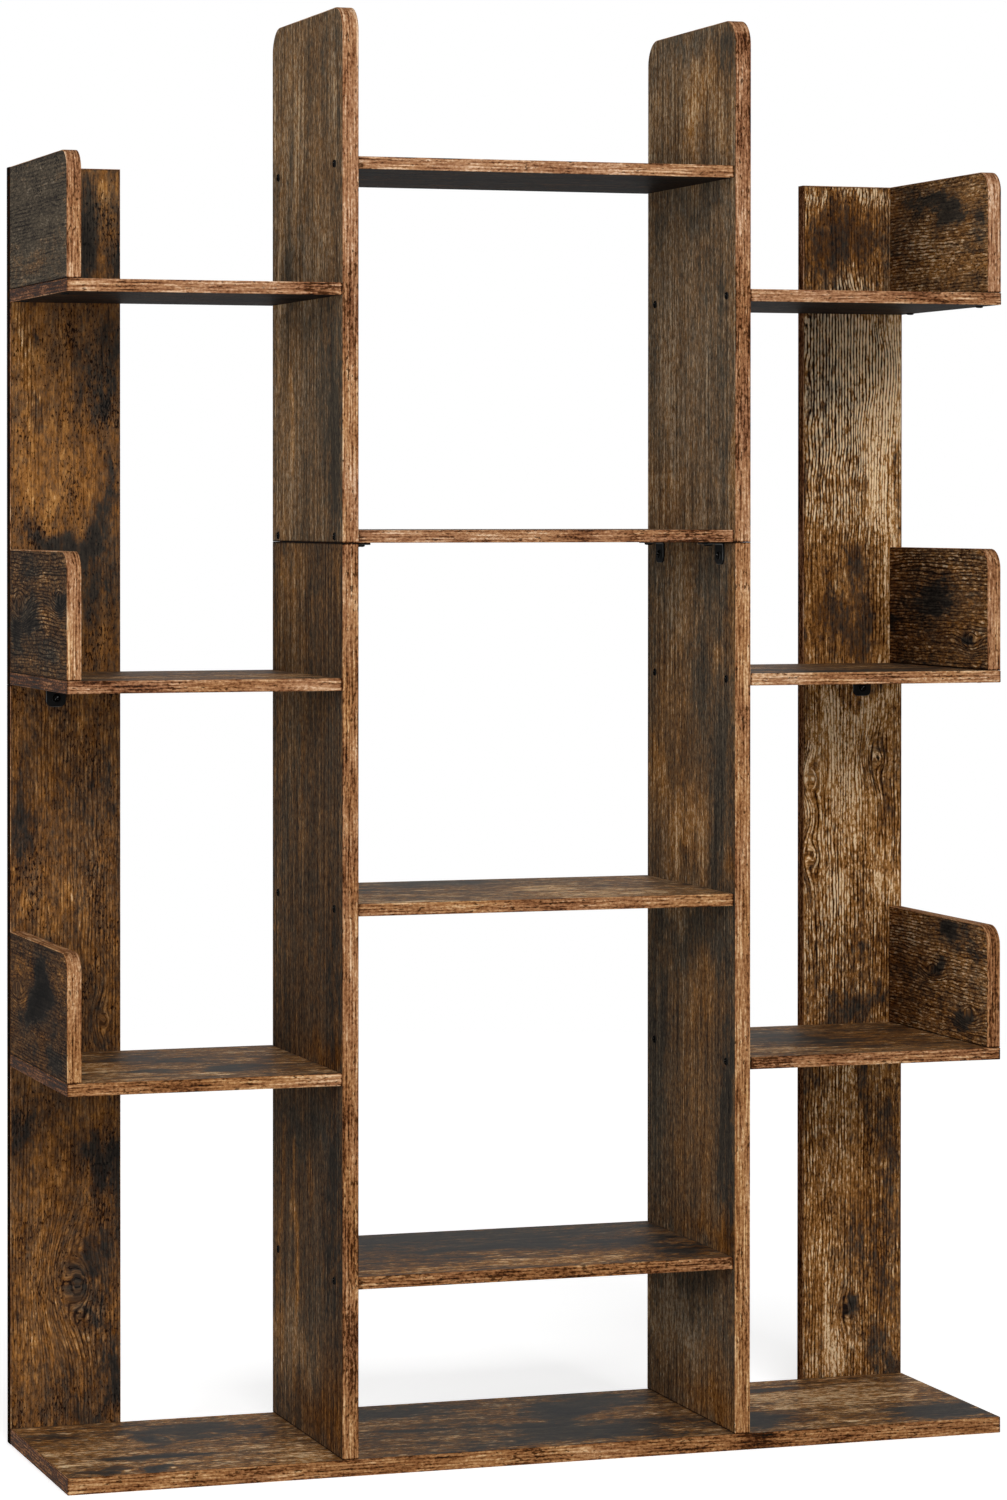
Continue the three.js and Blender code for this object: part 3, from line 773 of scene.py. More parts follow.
def print_group():
    """The rustic wood print. Grit, fibres, long streaks, short ticks and lines that follow
    the grain make one shade. Painted patches get ragged edges from a blotched noise and
    turn to charcoal, and two colour ramps, a grey one and an amber one, are mixed by
    warmth, which wanders too."""
    name = "Rustic wood print"
    if name in bpy.data.node_groups:
        return bpy.data.node_groups[name]
    colours = bpy.context.scene.bookshelf_print
    net, given, result = new_group(name, ("Grain", "Paint"), {
        "Level": 0.0, "Grit": 0.6, "Speck": 0.3, "Fibre": 1.0, "Streak": 0.6, "Thread": 0.2,
        "Blotch": 0.3, "Mottle": 0.5, "Line": 0.3, "Tick": 0.3, "Hue": 1.0, "Rim": 0.5})
    noise = partial(net.noise, given["Grain"])
    grain_across, _, rim = net.split(given["Grain"])
    tone, warmth, ridge = net.split(given["Paint"])
    grit = noise((430, 190, 0), 3.0, 0.75)
    fibre = noise((480, 84, 0), 3.0, 0.65)
    streak = noise((210, 5, 0), 4.0, 0.62)
    blotch = noise((95, 36, 0), 5.0, 0.68, 0.6)
    cloud = noise((26, 8, 0), 4.0, 0.6)
    tint = noise((58, 7, 0), 4.0, 0.66, 0.3, 7.3)
    speckle = noise((260, 120, 0), 2.0, 0.7, 0.0, 5.5)
    cluster = noise((30, 17, 0), 3.0, 0.6, 0.0, 3.1)
    speck = grit.remap(0.51, 0.68)
    thread = noise((540, 11, 0), 2.0, 0.5, 0.0, 8.8).remap(0.54, 0.66)
    tick = (noise((590, 200, 0), 3.0, 0.6) + cluster.centred(0.5)).remap(0.59, 0.67)
    tick = tick * ridge.remap(0.0, 0.7, 1.0, 0.3)

    # Patches, and the lines that follow the grain.
    patch = tone + blotch.centred(0.75) + cloud.centred(given["Mottle"] * 0.6)
    burnt = patch.remap(-0.12, -0.24)
    bright = patch.remap(0.05, 0.20)
    wander = noise((12, 1.8, 0), 2.0, 0.5)
    shiver = noise((84, 22, 0), 2.0, 0.5)
    waver = noise((40, 7, 0), 3.0, 0.55)
    loose = ridge.remap(0.3, 0.8, 1.0, 0.12)
    phase = grain_across * 285.0 + wander * 2.2 + shiver * 0.9 + waver * 3.4 * loose
    wave = net.math("SINE", phase * math.tau)
    line = wave.remap(net.math("MULTIPLY_ADD", ridge, -0.8, 0.42), 0.95)
    gate = (noise((62, 9, 0), 3.0, 0.6) + ridge * 0.35).remap(0.50, 0.62)
    beads = noise((300, 100, 0), 3.0, 0.65).remap(0.36, 0.60, 0.25, 1.2)
    groove = line * gate * (beads * net.math("MAXIMUM", given["Line"], ridge * 0.95))
    sparkle = noise((300, 75, 0), 4.0, 0.75, 0.0, 6.1).remap(0.42, 0.62, 0.0, 1.3)
    crest = ridge * sparkle * (1.0 - line)

    # Shade, warmth and colour.
    fine = (grit.centred(given["Grit"]) + fibre.centred(given["Fibre"])
            + streak.centred(given["Streak"]) + tick * given["Tick"] * -1.0
            + (speck - 0.2) * (given["Speck"] * -1.0)
            + (thread - 0.15) * (given["Thread"] * -1.0) + groove * -0.95 + crest * 0.95)
    shade = (given["Level"] + 0.50 + fine * (1.0 - burnt * 0.45) + tone * 0.58
             + blotch.centred(given["Blotch"]) + cloud.centred(given["Mottle"] * 0.4)
             + burnt * -0.05 + bright * 0.07)
    drift = (cloud.centred(0.6) + tint.centred(1.5) + blotch.centred(0.6)
             + speckle.centred(2.4) + fibre.centred(1.4) + streak.centred(1.2))
    warm = warmth + drift * given["Hue"] + bright * 0.25 + burnt * -0.35
    amber = net.ramp(shade, (0.0, colours.pitch), (0.20, colours.umber), (0.44, colours.brown),
                     (0.64, colours.amber), (0.83, colours.gold), (1.0, colours.straw))
    grey = net.ramp(shade, (0.0, colours.soot), (0.22, colours.charcoal),
                    (0.48, colours.slate), (0.74, colours.olive), (1.0, colours.stone))
    colour = net.mix(net.math("ADD", warm, 0.0, clamp=True), grey, amber)
    net.link(net.mix(rim * given["Rim"], colour, colours.soot), result.inputs["Colour"])
    net.link(shade.remap(0.1, 0.9, 0.52, 0.64) + fibre.centred(0.2),
             result.inputs["Roughness"])
    net.link(fibre + groove * -1.2 + tick * -0.6, result.inputs["Height"])
    return net.tree


def strip_group():
    """The edge strip: reddish tan with thin beaded lines along it, grit, and short dark
    pits that crowd together where the strip is painted darker."""
    name = "Edge strip print"
    if name in bpy.data.node_groups:
        return bpy.data.node_groups[name]
    colours = bpy.context.scene.bookshelf_print
    net, given, result = new_group(name, ("Strip",), {"Blush": 0.5, "Line": 1.0, "Pit": 0.6})
    along, through, tone = net.split(given["Strip"])
    place = net.add("ShaderNodeCombineXYZ")
    net.link(along, place.inputs[0])
    net.link(through, place.inputs[1])
    noise = partial(net.noise, Value(net, place.outputs[0]))
    weave = noise((8, 60, 0), 2.0, 0.5) * 1.8
    shiver = noise((90, 120, 0), 2.0, 0.5) * 0.35
    wave = net.math("SINE", (through * 330.0 + weave + shiver) * math.tau)
    line = wave.remap(0.25, 0.9) * noise((90, 260, 0), 3.0, 0.6).remap(0.40, 0.60, 0.1, 1.2)
    fibre = noise((22, 420, 0), 4.0, 0.62)
    grit = noise((260, 420, 0), 2.0, 0.65)
    patch = noise((14, 60, 0), 4.0, 0.6)
    blush = noise((7, 30, 0), 3.0, 0.6, 0.0, 4.7)
    crowd = noise((24, 70, 0), 3.0, 0.6, 0.0, 2.2).centred(0.35)
    pit_edge = (tone * -1.0).remap(0.0, 0.3, 0.63, 0.52)
    pit = (noise((150, 430, 0), 2.0, 0.55) + crowd - pit_edge).remap(0.0, 0.05)
    shade = (net.math("MULTIPLY_ADD", tone, 0.60, 0.62)
             + net.math("MINIMUM", tone + 0.28, 0.0) * 0.9 + fibre.centred(1.7)
             + grit.centred(1.0) + patch.centred(0.9) + line * given["Line"] * -0.26)
    colour = net.ramp(shade, (0.0, colours.soot), (0.2, colours.bark), (0.45, colours.copper),
                      (0.72, colours.tan), (1.0, colours.cream))
    gilded = (blush - given["Blush"]).remap(-0.25, 0.15)
    colour = net.mix(gilded, colour, net.mix(1.0, colour, colours.gilt, "MULTIPLY"))
    net.link(net.mix(pit * given["Pit"], colour, colours.umber), result.inputs["Colour"])
    net.link(shade.remap(0.1, 0.9, 0.48, 0.60), result.inputs["Roughness"])
    net.link(fibre + pit * -0.8, result.inputs["Height"])
    return net.tree


def new_material(name):
    """A new material: itself, its net, and its shader, which is joined to the output."""
    material = bpy.data.materials.new(name)
    material.use_nodes = True
    material.node_tree.nodes.clear()
    net = Net(material.node_tree)
    shader = net.add("ShaderNodeBsdfPrincipled")
    net.link(Value(net, shader.outputs[0]), net.add("ShaderNodeOutputMaterial").inputs[0])
    return material, net, shader


def coated_material(name, group, attributes, values, bump, specular):
    """A printed surface: attributes into a print group, its outputs into the shader."""
    if name in bpy.data.materials:
        return bpy.data.materials[name]
    material, net, shader = new_material(name)
    node = net.add("ShaderNodeGroup", node_tree=group)
    for label in attributes:
        output = "Fac" if node.inputs[label].type == "VALUE" else "Vector"
        net.link(net.source("ShaderNodeAttribute", output, attribute_name=label.lower()),
                 node.inputs[label])
    for label, value in values.items():
        node.inputs[label].default_value = value
    colour, roughness, height = (Value(net, socket) for socket in node.outputs)
    net.link(net.bump(height, bump, BUMP_HEIGHT), shader.inputs["Normal"])
    net.link(colour, shader.inputs["Base Color"])
    net.link(roughness, shader.inputs["Roughness"])
    shader.inputs["Specular IOR Level"].default_value = specular
    return material


def printed(name, specular, rim=0.7, **amounts):
    """A board's face. The amounts are those of the print group's inputs, in lower case."""
    values = {label.capitalize(): value for label, value in amounts.items()}
    return coated_material(name, print_group(), ("Grain", "Paint", "Level"),
                           {**values, "Rim": rim}, 0.35, specular)


def edge_strip(name, specular=0.002):
    """A board's edges."""
    return coated_material(name, strip_group(), ("Strip", "Blush"),
                           {"Line": 1.0, "Pit": 0.85}, 0.3, specular)


# Settings that a user would change.

def colour_property(name, description, default):
    return bpy.props.FloatVectorProperty(
        name=name, description=description, default=default, size=3, min=0.0, max=1.0,
        subtype="COLOR")


def length_property(name, description, default):
    return bpy.props.FloatProperty(
        name=name, description=description, default=default, min=0.0, unit="LENGTH",
        precision=5)


def power_property(name, description, default):
    return bpy.props.FloatProperty(
        name=name, description=description, default=default, min=0.0, unit="POWER")


class BoardSettings(bpy.types.PropertyGroup):
    """Sizes of the boards' surfaces"""

    grid_pitch: length_property("Grid pitch", "Spacing of the painted points on a face", 0.005)
    edge_ease: length_property("Edge ease", "Radius of the softened edges", 0.0008)
    rim_width: length_property("Rim width", "Width of the dark line along a face's edge", 0.0012)
    trunk_corner: length_property("Trunk corner", "Corner radius at the trunk's top", 0.025)
    panel_corner: length_property("Panel corner", "Radius of an end panel's front corner", 0.020)


class PrintSettings(bpy.types.PropertyGroup):
    """Colours of the print and of the edge strips"""

    soot: colour_property("Soot", "Joints and the darkest grey", linear(18, 17, 16))
    pitch: colour_property("Pitch", "Cracks and knots", linear(30, 13, 4))
    umber: colour_property("Umber", "Dark wood", linear(54, 28, 9))
    brown: colour_property("Brown", "Middle wood", linear(100, 62, 26))
    amber: colour_property("Amber", "Light wood", linear(148, 98, 49))
    gold: colour_property("Gold", "Bright wood", linear(190, 138, 79))
    straw: colour_property("Straw", "Palest wood", linear(248, 218, 176))
    charcoal: colour_property("Charcoal", "Burnt patches", linear(41, 37, 34))
    slate: colour_property("Slate", "Grey brown wood", linear(69, 62, 54))
    olive: colour_property("Olive", "Light grey brown wood", linear(101, 90, 75))
    stone: colour_property("Stone", "Palest grey wood", linear(149, 136, 119))
    bark: colour_property("Bark", "Dark lines of the edge strips", linear(72, 40, 23))
    copper: colour_property("Copper", "Middle of the edge strips", linear(139, 93, 63))
    tan: colour_property("Tan", "Light of the edge strips", linear(180, 134, 98))
    cream: colour_property("Cream", "Palest of the edge strips", linear(228, 194, 163))
    gilt: colour_property("Gilt", "Tint of yellow parts of a strip", linear(255, 250, 222))


class HardwareSettings(bpy.types.PropertyGroup):
    """Sizes and colours of the screws and brackets"""

    head_proud: length_property("Head proud", "How far a countersunk head stands out", 0.0018)
    recess_depth: length_property("Recess depth", "Depth of the cross recess", 0.0013)
    pan_radius: length_property("Pan radius", "Radius of a pan head", 0.0042)
    pan_height: length_property("Pan height", "Height of a pan head", 0.0022)
    black_steel: colour_property("Black steel", "Screws", linear(12, 11, 11))
    bracket_steel: colour_property("Bracket steel", "Brackets", linear(34, 34, 34))
    # Colour of the steel's outer corners: partly worn metal, partly a painted glint in place of
    # highlights.
    wear_and_glint_steel: colour_property("Worn steel", "Bare edges", linear(150, 152, 150))
    bracket_corner: length_property("Bracket corner", "Corner radius of a bracket", 0.006)


class StageSettings(bpy.types.PropertyGroup):
    """Light, floor and camera"""

    floor_colour: colour_property("Floor", "Floor near the object", linear(247, 247, 247))
    floor_pale: length_property("Floor pale", "Radius where white sets in", 1.5)
    floor_white: length_property("Floor white", "Radius where the floor is white", 3.4)
    key_power: power_property("Key power", "Power of the large front lamp", 140.0)
    side_power: power_property("Side power", "Power of the large lamp on the left", 80.0)
    rear_power: power_property("Rear power", "Power of the large lamp behind", 50.0)
    fill_level: bpy.props.FloatProperty(
        name="Fill level", description="Strength of the even light all round", default=0.28,
        min=0.0)
    camera_place: bpy.props.FloatVectorProperty(
        name="Camera place", description="Where the camera stands", size=3,
        default=(-1.45665, -4.11898, 0.91971), subtype="TRANSLATION", unit="LENGTH")
    camera_turn: bpy.props.FloatVectorProperty(
        name="Camera turn", description="Which way the camera looks", size=3,
        default=(math.radians(89.528), 0.0, math.radians(-17.181)), subtype="EULER")


# Pieces.

def make_boards(prefix, materials, hidden, radii=lambda name: SQUARE):
    """Makes every board whose node name starts with the prefix. radii gives the corner
    radii of the board of a name, and hidden the tone and warmth of faces not seen."""
    names = sorted(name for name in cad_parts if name.startswith(prefix))
    if not names:
        raise RuntimeError(f"the frame has no board named {prefix}")
    for name in names:
        make_board(name, materials, hidden, radii(name))


class BOOKSHELF_OT_uprights(bpy.types.Operator):
    """Makes the four trunk boards, the upper two with rounded top corners"""

    bl_idname = "bookshelf.uprights"
    bl_label = "Uprights"

    def execute(self, context):
        corner = context.scene.bookshelf_boards.trunk_corner
        face = printed("trunk_print", 0.001, grit=1.4, speck=0.12, fibre=0.8, streak=0.9,
                       thread=0.20, blotch=0.14, mottle=0.18, line=0.14, tick=0.10, hue=0.4)
        make_boards("upright", (face, edge_strip("trunk_strip")), (-0.02, 0.45),
                    lambda name: (0, corner, corner, 0) if "upper" in name else SQUARE)
        return {"FINISHED"}


class BOOKSHELF_OT_shelves(bpy.types.Operator):
    """Makes the base board, the centre shelves and the side shelves"""

    bl_idname = "bookshelf.shelves"
    bl_label = "Base and shelves"

    def execute(self, context):
        face = printed("shelf_print", 0.03, grit=1.5, speck=0.20, fibre=1.4, streak=1.0,
                       thread=0.10, blotch=1.1, mottle=1.4, line=0.30, tick=0.30, hue=0.9)
        # The low faces have less sheen; the shade painted on them comes from their print's darker
        # tone.
        under = printed("shelf_underside", 0.003, grit=1.1, speck=0.10, fibre=1.0,
                        streak=0.8, thread=0.10, blotch=0.6, mottle=0.8, line=0.20,
                        tick=0.20, hue=0.6)
        materials = face, edge_strip("shelf_strip", 0.013), under
        for prefix in ("base_board", "centre_shelf", "side_shelf"):
            make_boards(prefix, materials, (-0.05, 0.45))
        return {"FINISHED"}


class BOOKSHELF_OT_back_panels(bpy.types.Operator):
    """Makes the four back panel boards at the outer edges"""

    bl_idname = "bookshelf.back_panels"
    bl_label = "Back panels"

    def execute(self, context):
        strip = edge_strip("back_strip", 0.0)
        smooth = printed("left_back_print", 0.02, grit=1.0, speck=0.22, fibre=0.6, streak=0.3,
                         thread=0.05, blotch=0.50, mottle=0.5, line=0.20, tick=0.65, hue=0.6)
        ridged = printed("right_back_print", 0.02, grit=1.7, speck=0.24, fibre=0.9,
                         streak=0.7, thread=0.22, blotch=0.40, mottle=0.4, line=0.45,
                         tick=0.40, hue=0.8)
        make_boards("back_panel_left", (smooth, strip), (0.0, 0.62))
        make_boards("back_panel_right", (ridged, strip), (0.0, 0.62))
        return {"FINISHED"}


class BOOKSHELF_OT_end_panels(bpy.types.Operator):
    """Makes the six end panels, each with a rounded top front corner"""

    bl_idname = "bookshelf.end_panels"
    bl_label = "End panels"

    def execute(self, context):
        corner = context.scene.bookshelf_boards.panel_corner
        strip = edge_strip("end_strip")
        for side, veil, grit, line, hue in (("left", 0.0025, 1.5, 0.30, 0.35),
                                            ("right", 0.001, 1.3, 0.26, 0.60)):
            face = printed(f"{side}_end_print", veil, grit=grit, speck=0.22, fibre=1.0,
                           streak=0.4, thread=0.12, blotch=0.5, mottle=0.8, line=line,
                           tick=0.50, hue=hue)
            make_boards(f"end_panel_{side}", (face, strip), (-0.1, 0.6),
                        lambda name: (0, 0, 0, corner))
        return {"FINISHED"}


# Roughness, colour setting, specular, and how far the corners turn to the light edge colour,
# partly wear and partly a painted glint, of each steel.
STEELS = {
    "black_steel": (0.38, "black_steel", 0.0, 0.30),
    "angle_steel": (0.42, "bracket_steel", 0.004, 0.40),
    "pan_steel": (0.40, "black_steel", 0.004, 0.60),
}


def steel(name):
    """Screw and bracket steel: colour and roughness vary with a soft cloud and fine
    scratches, and the outer corners are painted lighter, partly as worn metal and partly as a
    painted glint."""
    if name in bpy.data.materials:
        return bpy.data.materials[name]
    hardware = bpy.context.scene.bookshelf_hardware
    roughness, setting, specular, bare_and_glint = STEELS[name]
    colour = getattr(hardware, setting)
    material, net, shader = new_material(name)
    place = net.source("ShaderNodeTexCoord", "Object")
    cloud = net.noise(place, (160, 160, 160), 4.0, 0.6)
    scratch = net.noise(place, (1400, 260, 900), 2.0, 0.5)
    # The outer corners are mixed towards the light edge colour: partly wear, partly a painted
    # glint.
    corners = net.source("ShaderNodeNewGeometry", "Pointiness").remap(0.54, 0.62)
    base = net.mix(cloud.remap(0.35, 0.65, 0.0, 0.45), colour, [0.5 * v for v in colour])
    net.link(net.mix(corners * bare_and_glint, base, hardware.wear_and_glint_steel), shader.inputs["Base Color"])
    net.link(roughness + scratch.centred(0.25) + cloud.centred(0.2),
             shader.inputs["Roughness"])
    net.link(net.bump(scratch, 0.15, 0.0002), shader.inputs["Normal"])
    shader.inputs["Specular IOR Level"].default_value = specular
    return material


def turned(profile, recess_rings, recess_radius, recess_depth, sides=28):
    """A closed turned surface about z from a profile of (radius, height) rings, whose first
    and last points are on the axis. A cross is pressed into the first rings: the surface
    sinks by recess_depth * max(bar(x, y), bar(y, x)), and each bar falls smoothly to
    nothing at its ends and sides."""
    profile = np.array(profile, float)
    angle = np.linspace(0, math.tau, sides, endpoint=False)
    radius, height = profile[1:-1, 0:1], profile[1:-1, 1:2]
    ring_x, ring_y = radius * np.cos(angle), radius * np.sin(angle)
    ring_z = np.broadcast_to(height, ring_x.shape).copy()

    def bar(u, v):
        long = np.clip((recess_radius - np.abs(u)) / (BAR_END * recess_radius), 0, 1)
        side = np.clip((BAR_WIDTH * recess_radius - np.abs(v)) / (BAR_SIDE * recess_radius), 0, 1)
        return long * side

    cross = np.maximum(bar(ring_x, ring_y), bar(ring_y, ring_x))
    cross[recess_rings:] = 0.0
    ring_z -= recess_depth * cross
    rings = np.stack([ring_x, ring_y, ring_z], -1).reshape(-1, 3)
    first = [[0.0, 0.0, profile[0, 1] - recess_depth]]
    points = np.concatenate([rings, first, [[0.0, 0.0, profile[-1, 1]]]])
    count = len(profile) - 2
    index = np.arange(count * sides).reshape(count, sides)
    turned_index = np.roll(index, -1, 1)
    quads = np.stack([index[:-1], index[1:], turned_index[1:], turned_index[:-1]], -1)
    top, tip = count * sides, count * sides + 1
    caps = np.concatenate([
        np.stack([index[0], turned_index[0], np.full(sides, top)], -1),
        np.stack([turned_index[-1], index[-1], np.full(sides, tip)], -1)])
    return points, quads.reshape(-1, 4), caps


def aim(points, place, direction):
    """Turns points from the z axis to a direction along one of the axes, and moves them."""
    direction = np.array(direction, float)
    side = np.array([0.0, 0.0, 1.0]) if abs(direction[2]) < 0.5 else np.array([1.0, 0.0, 0.0])
    other = np.cross(direction, side)
    return points @ np.stack([side, other, direction]) + np.array(place)


def countersunk(radius, length):
    """A countersunk screw, head up, with its rim at height zero: its profile, how many
    rings the cross is pressed into, and the cross's radius."""
    proud = bpy.context.scene.bookshelf_hardware.head_proud
    flat = np.linspace(0, radius - 0.0004, 12)
    top = [(r, proud * (1 - 0.4 * (r / radius) ** 2)) for r in flat]
    rest = [(radius - 0.0001, proud * 0.45), (radius, 0.0), (radius - 0.0001, -0.0004),
            (SHANK, -0.0026), (SHANK, -(length - 0.005)), (SHANK * 0.3, -(length - 0.0005)),
            (0.0, -length)]
    return top + rest, len(flat) - 1, CROSS


def pan_head(length):
    """A pan head screw, head up, with the head's underside at height zero."""
    hardware = bpy.context.scene.bookshelf_hardware
    radius, height = hardware.pan_radius, hardware.pan_height
    angle = np.linspace(0, math.pi / 2, 14)
    top = [(radius * math.sin(t), height * (0.45 + 0.55 * math.cos(t))) for t in angle]
    rest = [(radius, 0.0), (PAN_SHANK, 0.0), (PAN_SHANK, -(length - 0.004)),
            (PAN_SHANK * 0.3, -(length - 0.0005)), (0.0, -length)]
    return top + rest, 10, PAN_CROSS


def make_screws(name, screw, places, direction, material, node=None):
    """Like screws in one piece, at the places given and pointing out along the direction."""
    depth = bpy.context.scene.bookshelf_hardware.recess_depth
    points, quads, caps = turned(*screw, depth)
    every = np.concatenate([aim(points, place, direction) for place in places])
    shift = (np.arange(len(places)) * len(points))[:, None, None]
    quads, caps = (quads + shift).reshape(-1, 4), (caps + shift).reshape(-1, 3)
    if enclosed(every, quads, caps) < 0:
        quads, caps = quads[:, ::-1], caps[:, ::-1]
    piece = put_mesh(name, every, quads, caps, np.ones(len(quads) + len(caps), bool))
    piece.data.set_sharp_from_angle(angle=math.radians(55))
    piece.data.materials.append(material)
    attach(piece, BODY)
    if node:
        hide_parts(node)


class BOOKSHELF_OT_trunk_screws(bpy.types.Operator):
    """Makes the 28 countersunk screws through the trunk into the shelves"""

    bl_idname = "bookshelf.trunk_screws"
    bl_label = "Trunk screws"

    def execute(self, context):
        for node in sorted(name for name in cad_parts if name.startswith("screw_")):
            low, high = (np.array(corner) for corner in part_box(node))
            head_left = "centre_left" in node or "side_right" in node
            place = (low + high) / 2
            place[X] = low[X] if head_left else high[X]
            screw = countersunk((high[Z] - low[Z]) / 2, high[X] - low[X])
            make_screws("head_" + node, screw, [place],
                        (-1.0 if head_left else 1.0, 0.0, 0.0), steel("black_steel"), node)
        return {"FINISHED"}


def bend_plate(flat, leg_down, bend):
    """Bends a flat plate's points into a right angle: (away from the wall, sideways, up)
    from the corner. Below the bend a point at s along the plate is at height s - leg_down,
    through the bend it turns round a centre at bend from wall and shelf, and past it runs
    straight out."""
    s, side, through = flat.T
    straight = leg_down - bend
    arc = bend * math.pi / 2
    turn = np.clip((s - straight) / arc, 0.0, 1.0) * math.pi / 2
    radius = bend - through
    out = np.where(s < straight, through, bend - radius * np.cos(turn))
    up = np.where(s < straight, s - leg_down, -bend + radius * np.sin(turn))
    return np.stack([out + np.maximum(s - straight - arc, 0.0), side, up], 1)


class BOOKSHELF_OT_brackets(bpy.types.Operator):
    """Makes the six steel angle brackets, each with two pan head screws"""

    bl_idname = "bookshelf.brackets"
    bl_label = "Brackets"

    def execute(self, context):
        corner = context.scene.bookshelf_hardware.bracket_corner
        thick, bend, hole = 0.002, 0.0026, 0.0135
        pitch, ease, rim, arc_steps = 0.0015, 0.0003, 0.0006, 8
        rise = np.array([0.0, 0.0, 1.0])
        for node in sorted(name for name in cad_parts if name.startswith("bracket_")):
            low, high = (np.array(point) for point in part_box(node))
            if "side" in node:
                wide, deep = X, Y
                away, sideways = np.array([0.0, -1.0, 0.0]), np.array([1.0, 0.0, 0.0])
                start = np.array([low[X], high[Y], high[Z]])
            else:
                wide, deep = Y, X
                inward, wall = (1.0, low[X]) if low[X] < 0 else (-1.0, high[X])
                away, sideways = np.array([inward, 0.0, 0.0]), np.array([0.0, 1.0, 0.0])
                start = np.array([wall, low[Y], high[Z]])
            width, leg_out, leg_down = (high - low)[[wide, deep, Z]]
            length = leg_down + leg_out - 2 * bend + bend * math.pi / 2
            made = slab(length, width, thick, (corner,) * 4, pitch, ease, rim, arc_steps)
            bent = bend_plate(made["points"], leg_down, bend)
            points = bent @ np.stack([away, sideways, rise]) + start
            quads = made["quads"]
            if enclosed(points, quads) < 0:
                quads = quads[:, ::-1]
            piece = put_mesh(node + "_plate", points, quads,
                             smooth=np.ones(len(quads), bool))
            piece.data.set_sharp_from_angle(angle=math.radians(40))
            piece.data.materials.append(steel("angle_steel"))
            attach(piece, BODY)
            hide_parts(node)
            middle = start + sideways * width / 2
            for end, screw, place, out in (
                    ("wall", WALL_SCREW, middle + away * thick - rise * hole, away),
                    ("shelf", SHELF_SCREW, middle + away * hole - rise * thick, -rise)):
                make_screws(f"{node}_screw_{end}", pan_head(screw), [place], out,
                            steel("pan_steel"))
        return {"FINISHED"}


def below(node, height):
    """Two places under a board that stands, at a height, near its front and rear edges."""
    low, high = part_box(node)
    middle = (low[X] + high[X]) / 2
    return [(middle, y, height) for y in (low[Y] + SCREW_INSET, high[Y] - SCREW_INSET)]


class BOOKSHELF_OT_hidden_screws(bpy.types.Operator):
    """Makes the screws under the base, behind the back panels and under the end panels"""

    bl_idname = "bookshelf.hidden_screws"
    bl_label = "Hidden screws"

    def execute(self, context):
        down, back = (0.0, 0.0, -1.0), (0.0, 1.0, 0.0)
        black = steel("black_steel")
        foot = countersunk(HEAD_RADIUS, FOOT_SCREW)
        screw = countersunk(HEAD_RADIUS, PANEL_SCREW)
        for side in ("left", "right"):
            make_screws(f"screws_foot_{side}", foot, below(f"upright_{side}_lower", 0.0002),
                        down, black)
            shelves = [f"side_shelf_{side}_{k}" for k in (1, 2, 3)]
            for part, boards in (("lower", [shelves[0], "base_board"]),
                                 ("upper", shelves[1:])):
                low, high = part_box(f"back_panel_{side}_{part}")
                middle = (low[X] + high[X]) / 2
                heights = [sum(corner[Z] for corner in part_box(board)) / 2 for board in boards]
                places = [(middle + x, high[Y], z) for z in heights
                          for x in (-SCREW_SPREAD, SCREW_SPREAD)]
                make_screws(f"screws_back_{side}_{part}", screw, places, back, black)
            for k, shelf in enumerate(shelves, 1):
                places = below(f"end_panel_{side}_{k}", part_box(shelf)[0][Z])
                make_screws(f"screws_end_{side}_{k}", screw, places, down, black)
        return {"FINISHED"}


class BOOKSHELF_OT_stage(bpy.types.Operator):
    """Sets up the floor, lamps, world and camera"""

    bl_idname = "bookshelf.stage"
    bl_label = "Stage"

    def execute(self, context):
        stage = context.scene.bookshelf_stage
        make_floor(stage)
        make_light(stage)
        make_camera(stage)
        context.scene.view_settings.view_transform = "Standard"
        return {"FINISHED"}


def make_floor(stage):
    """A flat floor, z = 0 over a square grid. Near the object it is pale and takes its
    shadow, and with the distance from the middle it turns into the white round it."""
    sides = np.linspace(-FLOOR_HALF, FLOOR_HALF, 9)
    points = np.stack(np.meshgrid(sides, sides, [0.0], indexing="ij"), -1)[:, :, 0]
    index = np.arange(points.shape[0] * points.shape[1]).reshape(points.shape[:2])
    piece = put_mesh("floor", points.reshape(-1, 3), cells(index).reshape(-1, 4))
    material, net, shader = new_material("floor_paper")
    place = net.source("ShaderNodeTexCoord", "Object")
    cloud = net.noise(place, (3, 3, 3), 2.0, 0.5)
    colour = net.mix(cloud.remap(0.3, 0.7, 0.0, 0.02), stage.floor_colour, (0.8, 0.8, 0.8))
    reach = net.add("ShaderNodeVectorMath", operation="LENGTH")
    net.link(place, reach.inputs[0])
    far = Value(net, reach.outputs["Value"]).remap(stage.floor_pale, stage.floor_white)
    shown = net.shown()
    net.link(net.mix(shown * far, colour, (0.0, 0.0, 0.0)), shader.inputs["Base Color"])
    net.link((1.0, 1.0, 1.0, 1.0), shader.inputs["Emission Color"])
    net.link(shown * far.remap(0.0, 1.0, 0.58, 1.0), shader.inputs["Emission Strength"])
    net.link(0.9, shader.inputs["Roughness"])
    net.link(0.0, shader.inputs["Specular IOR Level"])
    piece.data.materials.append(material)


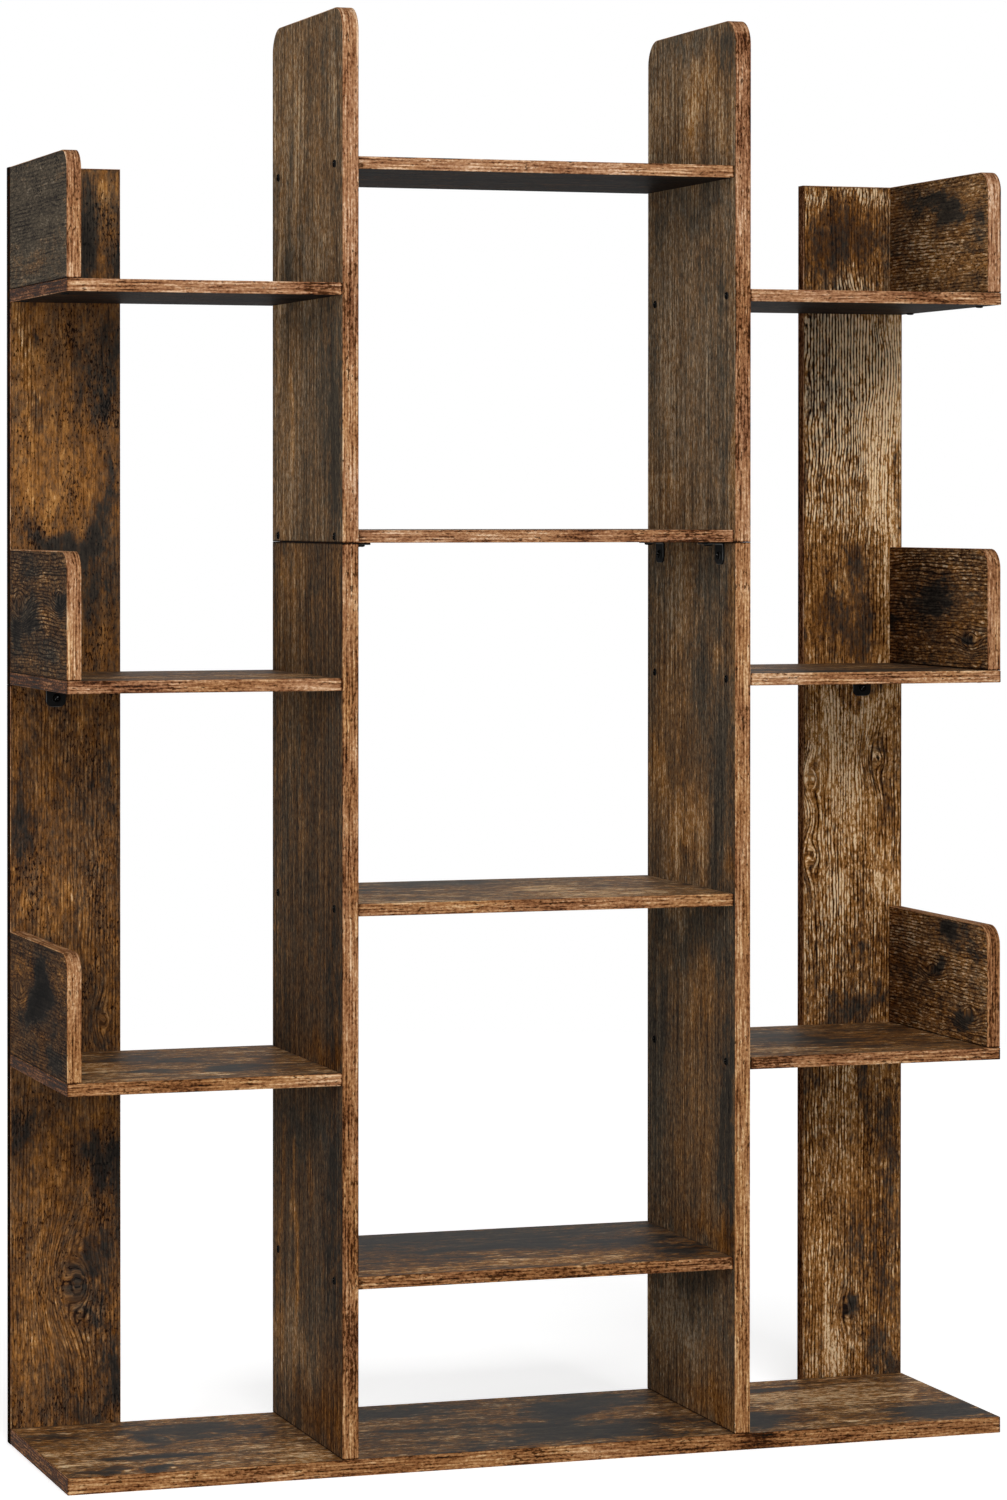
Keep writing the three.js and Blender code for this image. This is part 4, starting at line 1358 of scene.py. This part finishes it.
def area_lamp(name, place, target, size, power, shine=True):
    """A soft lamp that the camera doesn't see. Without shine it gives no highlights."""
    data = bpy.data.lights.new(name, "AREA")
    data.shape = "RECTANGLE"
    data.size, data.size_y = size
    data.energy = power
    lamp = bpy.data.objects.new(name, data)
    bpy.context.scene.collection.objects.link(lamp)
    lamp.visible_camera = False
    lamp.visible_glossy = shine
    lamp.location = place
    away = np.array(place) - np.array(target)
    lamp.rotation_euler = (math.atan2(math.hypot(away[X], away[Y]), away[Z]), 0.0,
                           math.atan2(away[X], -away[Y]))


def make_light(stage):
    """An even world, white where the camera, gloss or glass sees it, and soft lamps."""
    world = bpy.data.worlds.new("studio")
    bpy.context.scene.world = world
    world.use_nodes = True
    world.node_tree.nodes.clear()
    net = Net(world.node_tree)
    background = net.add("ShaderNodeBackground")
    net.link((1.0, 1.0, 1.0, 1.0), background.inputs["Color"])
    net.link(net.shown().remap(0.0, 1.0, stage.fill_level, 1.0), background.inputs["Strength"])
    net.link(Value(net, background.outputs[0]), net.add("ShaderNodeOutputWorld").inputs[0])
    area_lamp("key", (-0.3, -4.8, 3.2), (0.0, 0.0, 0.75), (2.6, 2.2), stage.key_power)
    area_lamp("side", (-4.6, -2.4, 1.9), (0.0, 0.0, 0.70), (2.4, 2.4), stage.side_power)
    area_lamp("rear", (2.4, 4.6, 2.2), (0.0, 0.0, 0.70), (2.6, 2.2), stage.rear_power, False)


def make_camera(stage):
    """The photograph's camera: long lens from the front left, with the frame shifted."""
    data = bpy.data.cameras.new("camera")
    data.sensor_width = 36.0
    data.lens = 105.73
    data.shift_x = 0.1157
    data.shift_y = -0.1354
    data.clip_end = 60.0
    camera = bpy.data.objects.new("camera", data)
    bpy.context.scene.collection.objects.link(camera)
    camera.location = stage.camera_place
    camera.rotation_euler = stage.camera_turn
    bpy.context.scene.camera = camera


class BOOKSHELF_PT_panel(bpy.types.Panel):
    """Lists the bookshelf's settings and pieces"""

    bl_idname = "BOOKSHELF_PT_panel"
    bl_label = "Tree Shaped Bookshelf"
    bl_space_type = "VIEW_3D"
    bl_region_type = "UI"
    bl_category = "Bookshelf"

    def draw(self, context):
        for holder, settings_class in SETTINGS.items():
            box = self.layout.box()
            for field in settings_class.__annotations__:
                box.prop(getattr(context.scene, holder), field)
        for operator in OPERATORS:
            self.layout.operator(operator.bl_idname)


SETTINGS = {
    "bookshelf_boards": BoardSettings, "bookshelf_print": PrintSettings,
    "bookshelf_hardware": HardwareSettings, "bookshelf_stage": StageSettings,
}
OPERATORS = (
    BOOKSHELF_OT_stage, BOOKSHELF_OT_uprights, BOOKSHELF_OT_shelves,
    BOOKSHELF_OT_back_panels, BOOKSHELF_OT_end_panels, BOOKSHELF_OT_trunk_screws,
    BOOKSHELF_OT_brackets, BOOKSHELF_OT_hidden_screws,
)


def register():
    for holder, settings_class in SETTINGS.items():
        bpy.utils.register_class(settings_class)
        setattr(bpy.types.Scene, holder, bpy.props.PointerProperty(type=settings_class))
    for item in OPERATORS + (BOOKSHELF_PT_panel,):
        bpy.utils.register_class(item)


def unregister():
    for item in (BOOKSHELF_PT_panel,) + OPERATORS[::-1]:
        bpy.utils.unregister_class(item)
    for holder, settings_class in SETTINGS.items():
        delattr(bpy.types.Scene, holder)
        bpy.utils.unregister_class(settings_class)


def main():
    register()
    for operator in OPERATORS:
        group, name = operator.bl_idname.split(".")
        getattr(getattr(bpy.ops, group), name)()
    bpy.context.view_layer.update()


if __name__ == "__main__":
    main()
